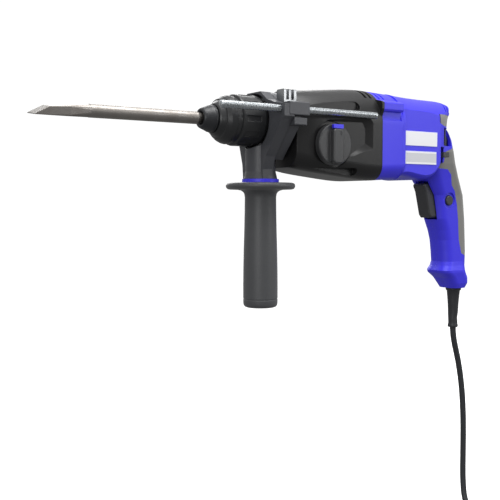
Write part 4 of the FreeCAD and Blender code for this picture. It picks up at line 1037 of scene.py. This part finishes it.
@dataclass
class DustCap:
    """The rubber cap of the chuck: a cupped mouth, a bulging side and a groove behind it."""

    rings: tuple[Ring, ...] = (
        (5.6, 5.5), (3.1, 5.5), (2.0, 6.2), (0.6, 7.2), (0.0, 7.9), (0.0, 8.7), (0.4, 9.6), (1.4, 10.3),
        (3.4, 11.1), (5.4, 11.8), (7.4, 12.6), (9.2, 13.4), (10.8, 13.8), (11.9, 13.9), (12.1, 13.5),
        (12.6, 13.5), (12.8, 13.9), (13.8, 13.9), (13.8, 9.05), (5.6, 9.05),
    )

    def build(self) -> None:
        """Makes the cap."""
        low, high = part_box("dust_cap")
        rings = [(place * MM, radius * MM) for place, radius in self.rings]
        at = Vector((low.x, (low.y + high.y) / 2, (low.z + high.z) / 2))
        cap = turned("dust_cap_rubber", rings, Axis.X, at, 96, bore=True)
        soften(cap, 0.25 * MM, 2, 40)
        finished(cap, "spindle", Slot.CAP_RUBBER, ["dust_cap"])


@dataclass
class SideGrip:
    """The turned side grip: a thin guard flange, a waisted neck, a long bulging body and an end cap line."""

    bore: float = 4.4
    bore_depth: float = 58.0
    rings: tuple[Ring, ...] = (
        (0.0, 12.0), (0.0, 33.6), (0.5, 35.2), (1.6, 36.3), (3.2, 36.7), (4.6, 36.5), (5.9, 35.7), (6.8, 34.4),
        (7.1, 32.6), (7.4, 24.0), (8.2, 20.6), (9.6, 18.4), (11.6, 17.2), (14.0, 16.8), (15.2, 16.6),
        (30.0, 16.8), (50.0, 17.2), (70.0, 17.8), (90.0, 18.2), (108.0, 18.4), (122.0, 18.4), (122.4, 18.1),
        (123.2, 18.1), (123.6, 18.4), (127.6, 18.3), (129.6, 17.8), (130.9, 16.8), (131.6, 15.2), (131.8, 13.0),
    )

    def build(self) -> None:
        """Makes the grip."""
        low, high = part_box("side_grip")
        at = Vector(((low.x + high.x) / 2, (low.y + high.y) / 2, high.z))
        rings = [(-self.bore_depth * MM, self.bore * MM), (0.0, self.bore * MM)]
        rings += [(-place * MM, radius * MM) for place, radius in self.rings]
        grip = turned("side_grip_handle", rings, Axis.Z, at, 128)
        soften(grip, 0.3 * MM, 2, 55)
        finished(grip, "side_grip", Slot.SIDE_GRIP_RUBBER, ["side_grip"])


@dataclass
class DepthRod:
    """The depth rod, with a row of teeth along its lower left side."""

    sides: int = 24
    pitch: float = 0.0018
    tooth_depth: float = 0.0005
    tip: float = 0.0012

    def build(self) -> None:
        """Makes the rod and cuts its teeth."""
        low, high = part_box("depth_rod")
        radius = (high.z - low.z) / 2
        length = high.x - low.x
        at = Vector((low.x, (low.y + high.y) / 2, (low.z + high.z) / 2))
        rings = [(0.0, radius - self.tip), (self.tip * 0.4, radius - self.tip * 0.35), (self.tip, radius),
                 (length - self.tip, radius), (length, radius - self.tip)]
        rod = turned("depth_rod_bar", rings, Axis.X, at, self.sides)
        cuts = 2 * int((length - 2 * self.tip) / self.pitch)
        step = (length - 2 * self.tip) / (cuts + 1)
        toothed = Vector((0, -0.8, -0.6)).normalized()

        def in_tooth(vert: bmesh.types.BMVert) -> bool:
            """Whether a point lies in a gap between two teeth."""
            number = (vert.co.x - low.x - self.tip) / step
            outward = Vector((0, vert.co.y - at.y, vert.co.z - at.z))
            return 1 < number < cuts and round(number) % 2 == 0 and outward.dot(toothed) > radius * 0.6

        with editing(rod, "EDGE"):
            pick(rod, "edges", lambda edge: abs(edge.verts[0].co.x - edge.verts[1].co.x) > length / 2)
            bpy.ops.mesh.subdivide_edgering(number_cuts=cuts, interpolation="LINEAR")
            bpy.ops.mesh.select_mode(type="VERT")
            pick(rod, "verts", in_tooth)
            bpy.ops.transform.translate(value=toothed * -self.tooth_depth)
        finished(rod, "depth_rod", Slot.ZINC_ROD, ["depth_rod"])


@dataclass
class KnobHoleShade:
    """A dark oval at the pointing end of the mode knob's bar, with a shallow dimple in it; its dark colour is painted
    shade standing for a hole.
    """

    aside: float = 0.0025
    below_top: float = 0.0105
    tall: float = 1.9
    rings: tuple[Ring, ...] = ((0.6, 1.15), (-0.05, 1.15), (-0.15, 1.0), (-0.15, 0.6), (0.1, 0.4))

    def build(self) -> None:
        """Makes the dark oval, whose colour is painted shade for a hole."""
        low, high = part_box("mode_knob")
        at = Vector(((low.x + high.x) / 2 + self.aside, low.y, high.z - self.below_top))
        hole_shade_disc = turned("knob_hole_shade", [(place * MM, radius * MM) for place, radius in self.rings], Axis.Y, at, 32)
        with editing(hole_shade_disc, "VERT"):
            bpy.ops.mesh.select_all(action="SELECT")
            bpy.ops.transform.resize(value=(1, 1, self.tall), center_override=at)
        # Near-black rubber finish: painted shade for the depth of the hole.
        finished(hole_shade_disc, "mode_knob", Slot.CAP_RUBBER)


@dataclass
class CadPieces:
    """The pieces whose CAD shape is the real one. They only take their finishes."""

    def dress(self) -> None:
        """Gives every CAD node the material of its slot."""
        for name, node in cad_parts.items():
            slot = Slot(node.data.materials[0].name)
            for place in node.material_slots:
                place.material = material_of(slot)
            log.info("%s takes %s", name, slot.value)


def main() -> None:
    """Builds the studio, the lead and the tool's pieces."""
    logging.basicConfig(level=logging.INFO, format="%(message)s")
    Studio().build()
    MainsLead().build()
    CadPieces().dress()
    DustCap().build()
    SideGrip().build()
    DepthRod().build()
    KnobHoleShade().build()


if __name__ == "__main__":
    main()
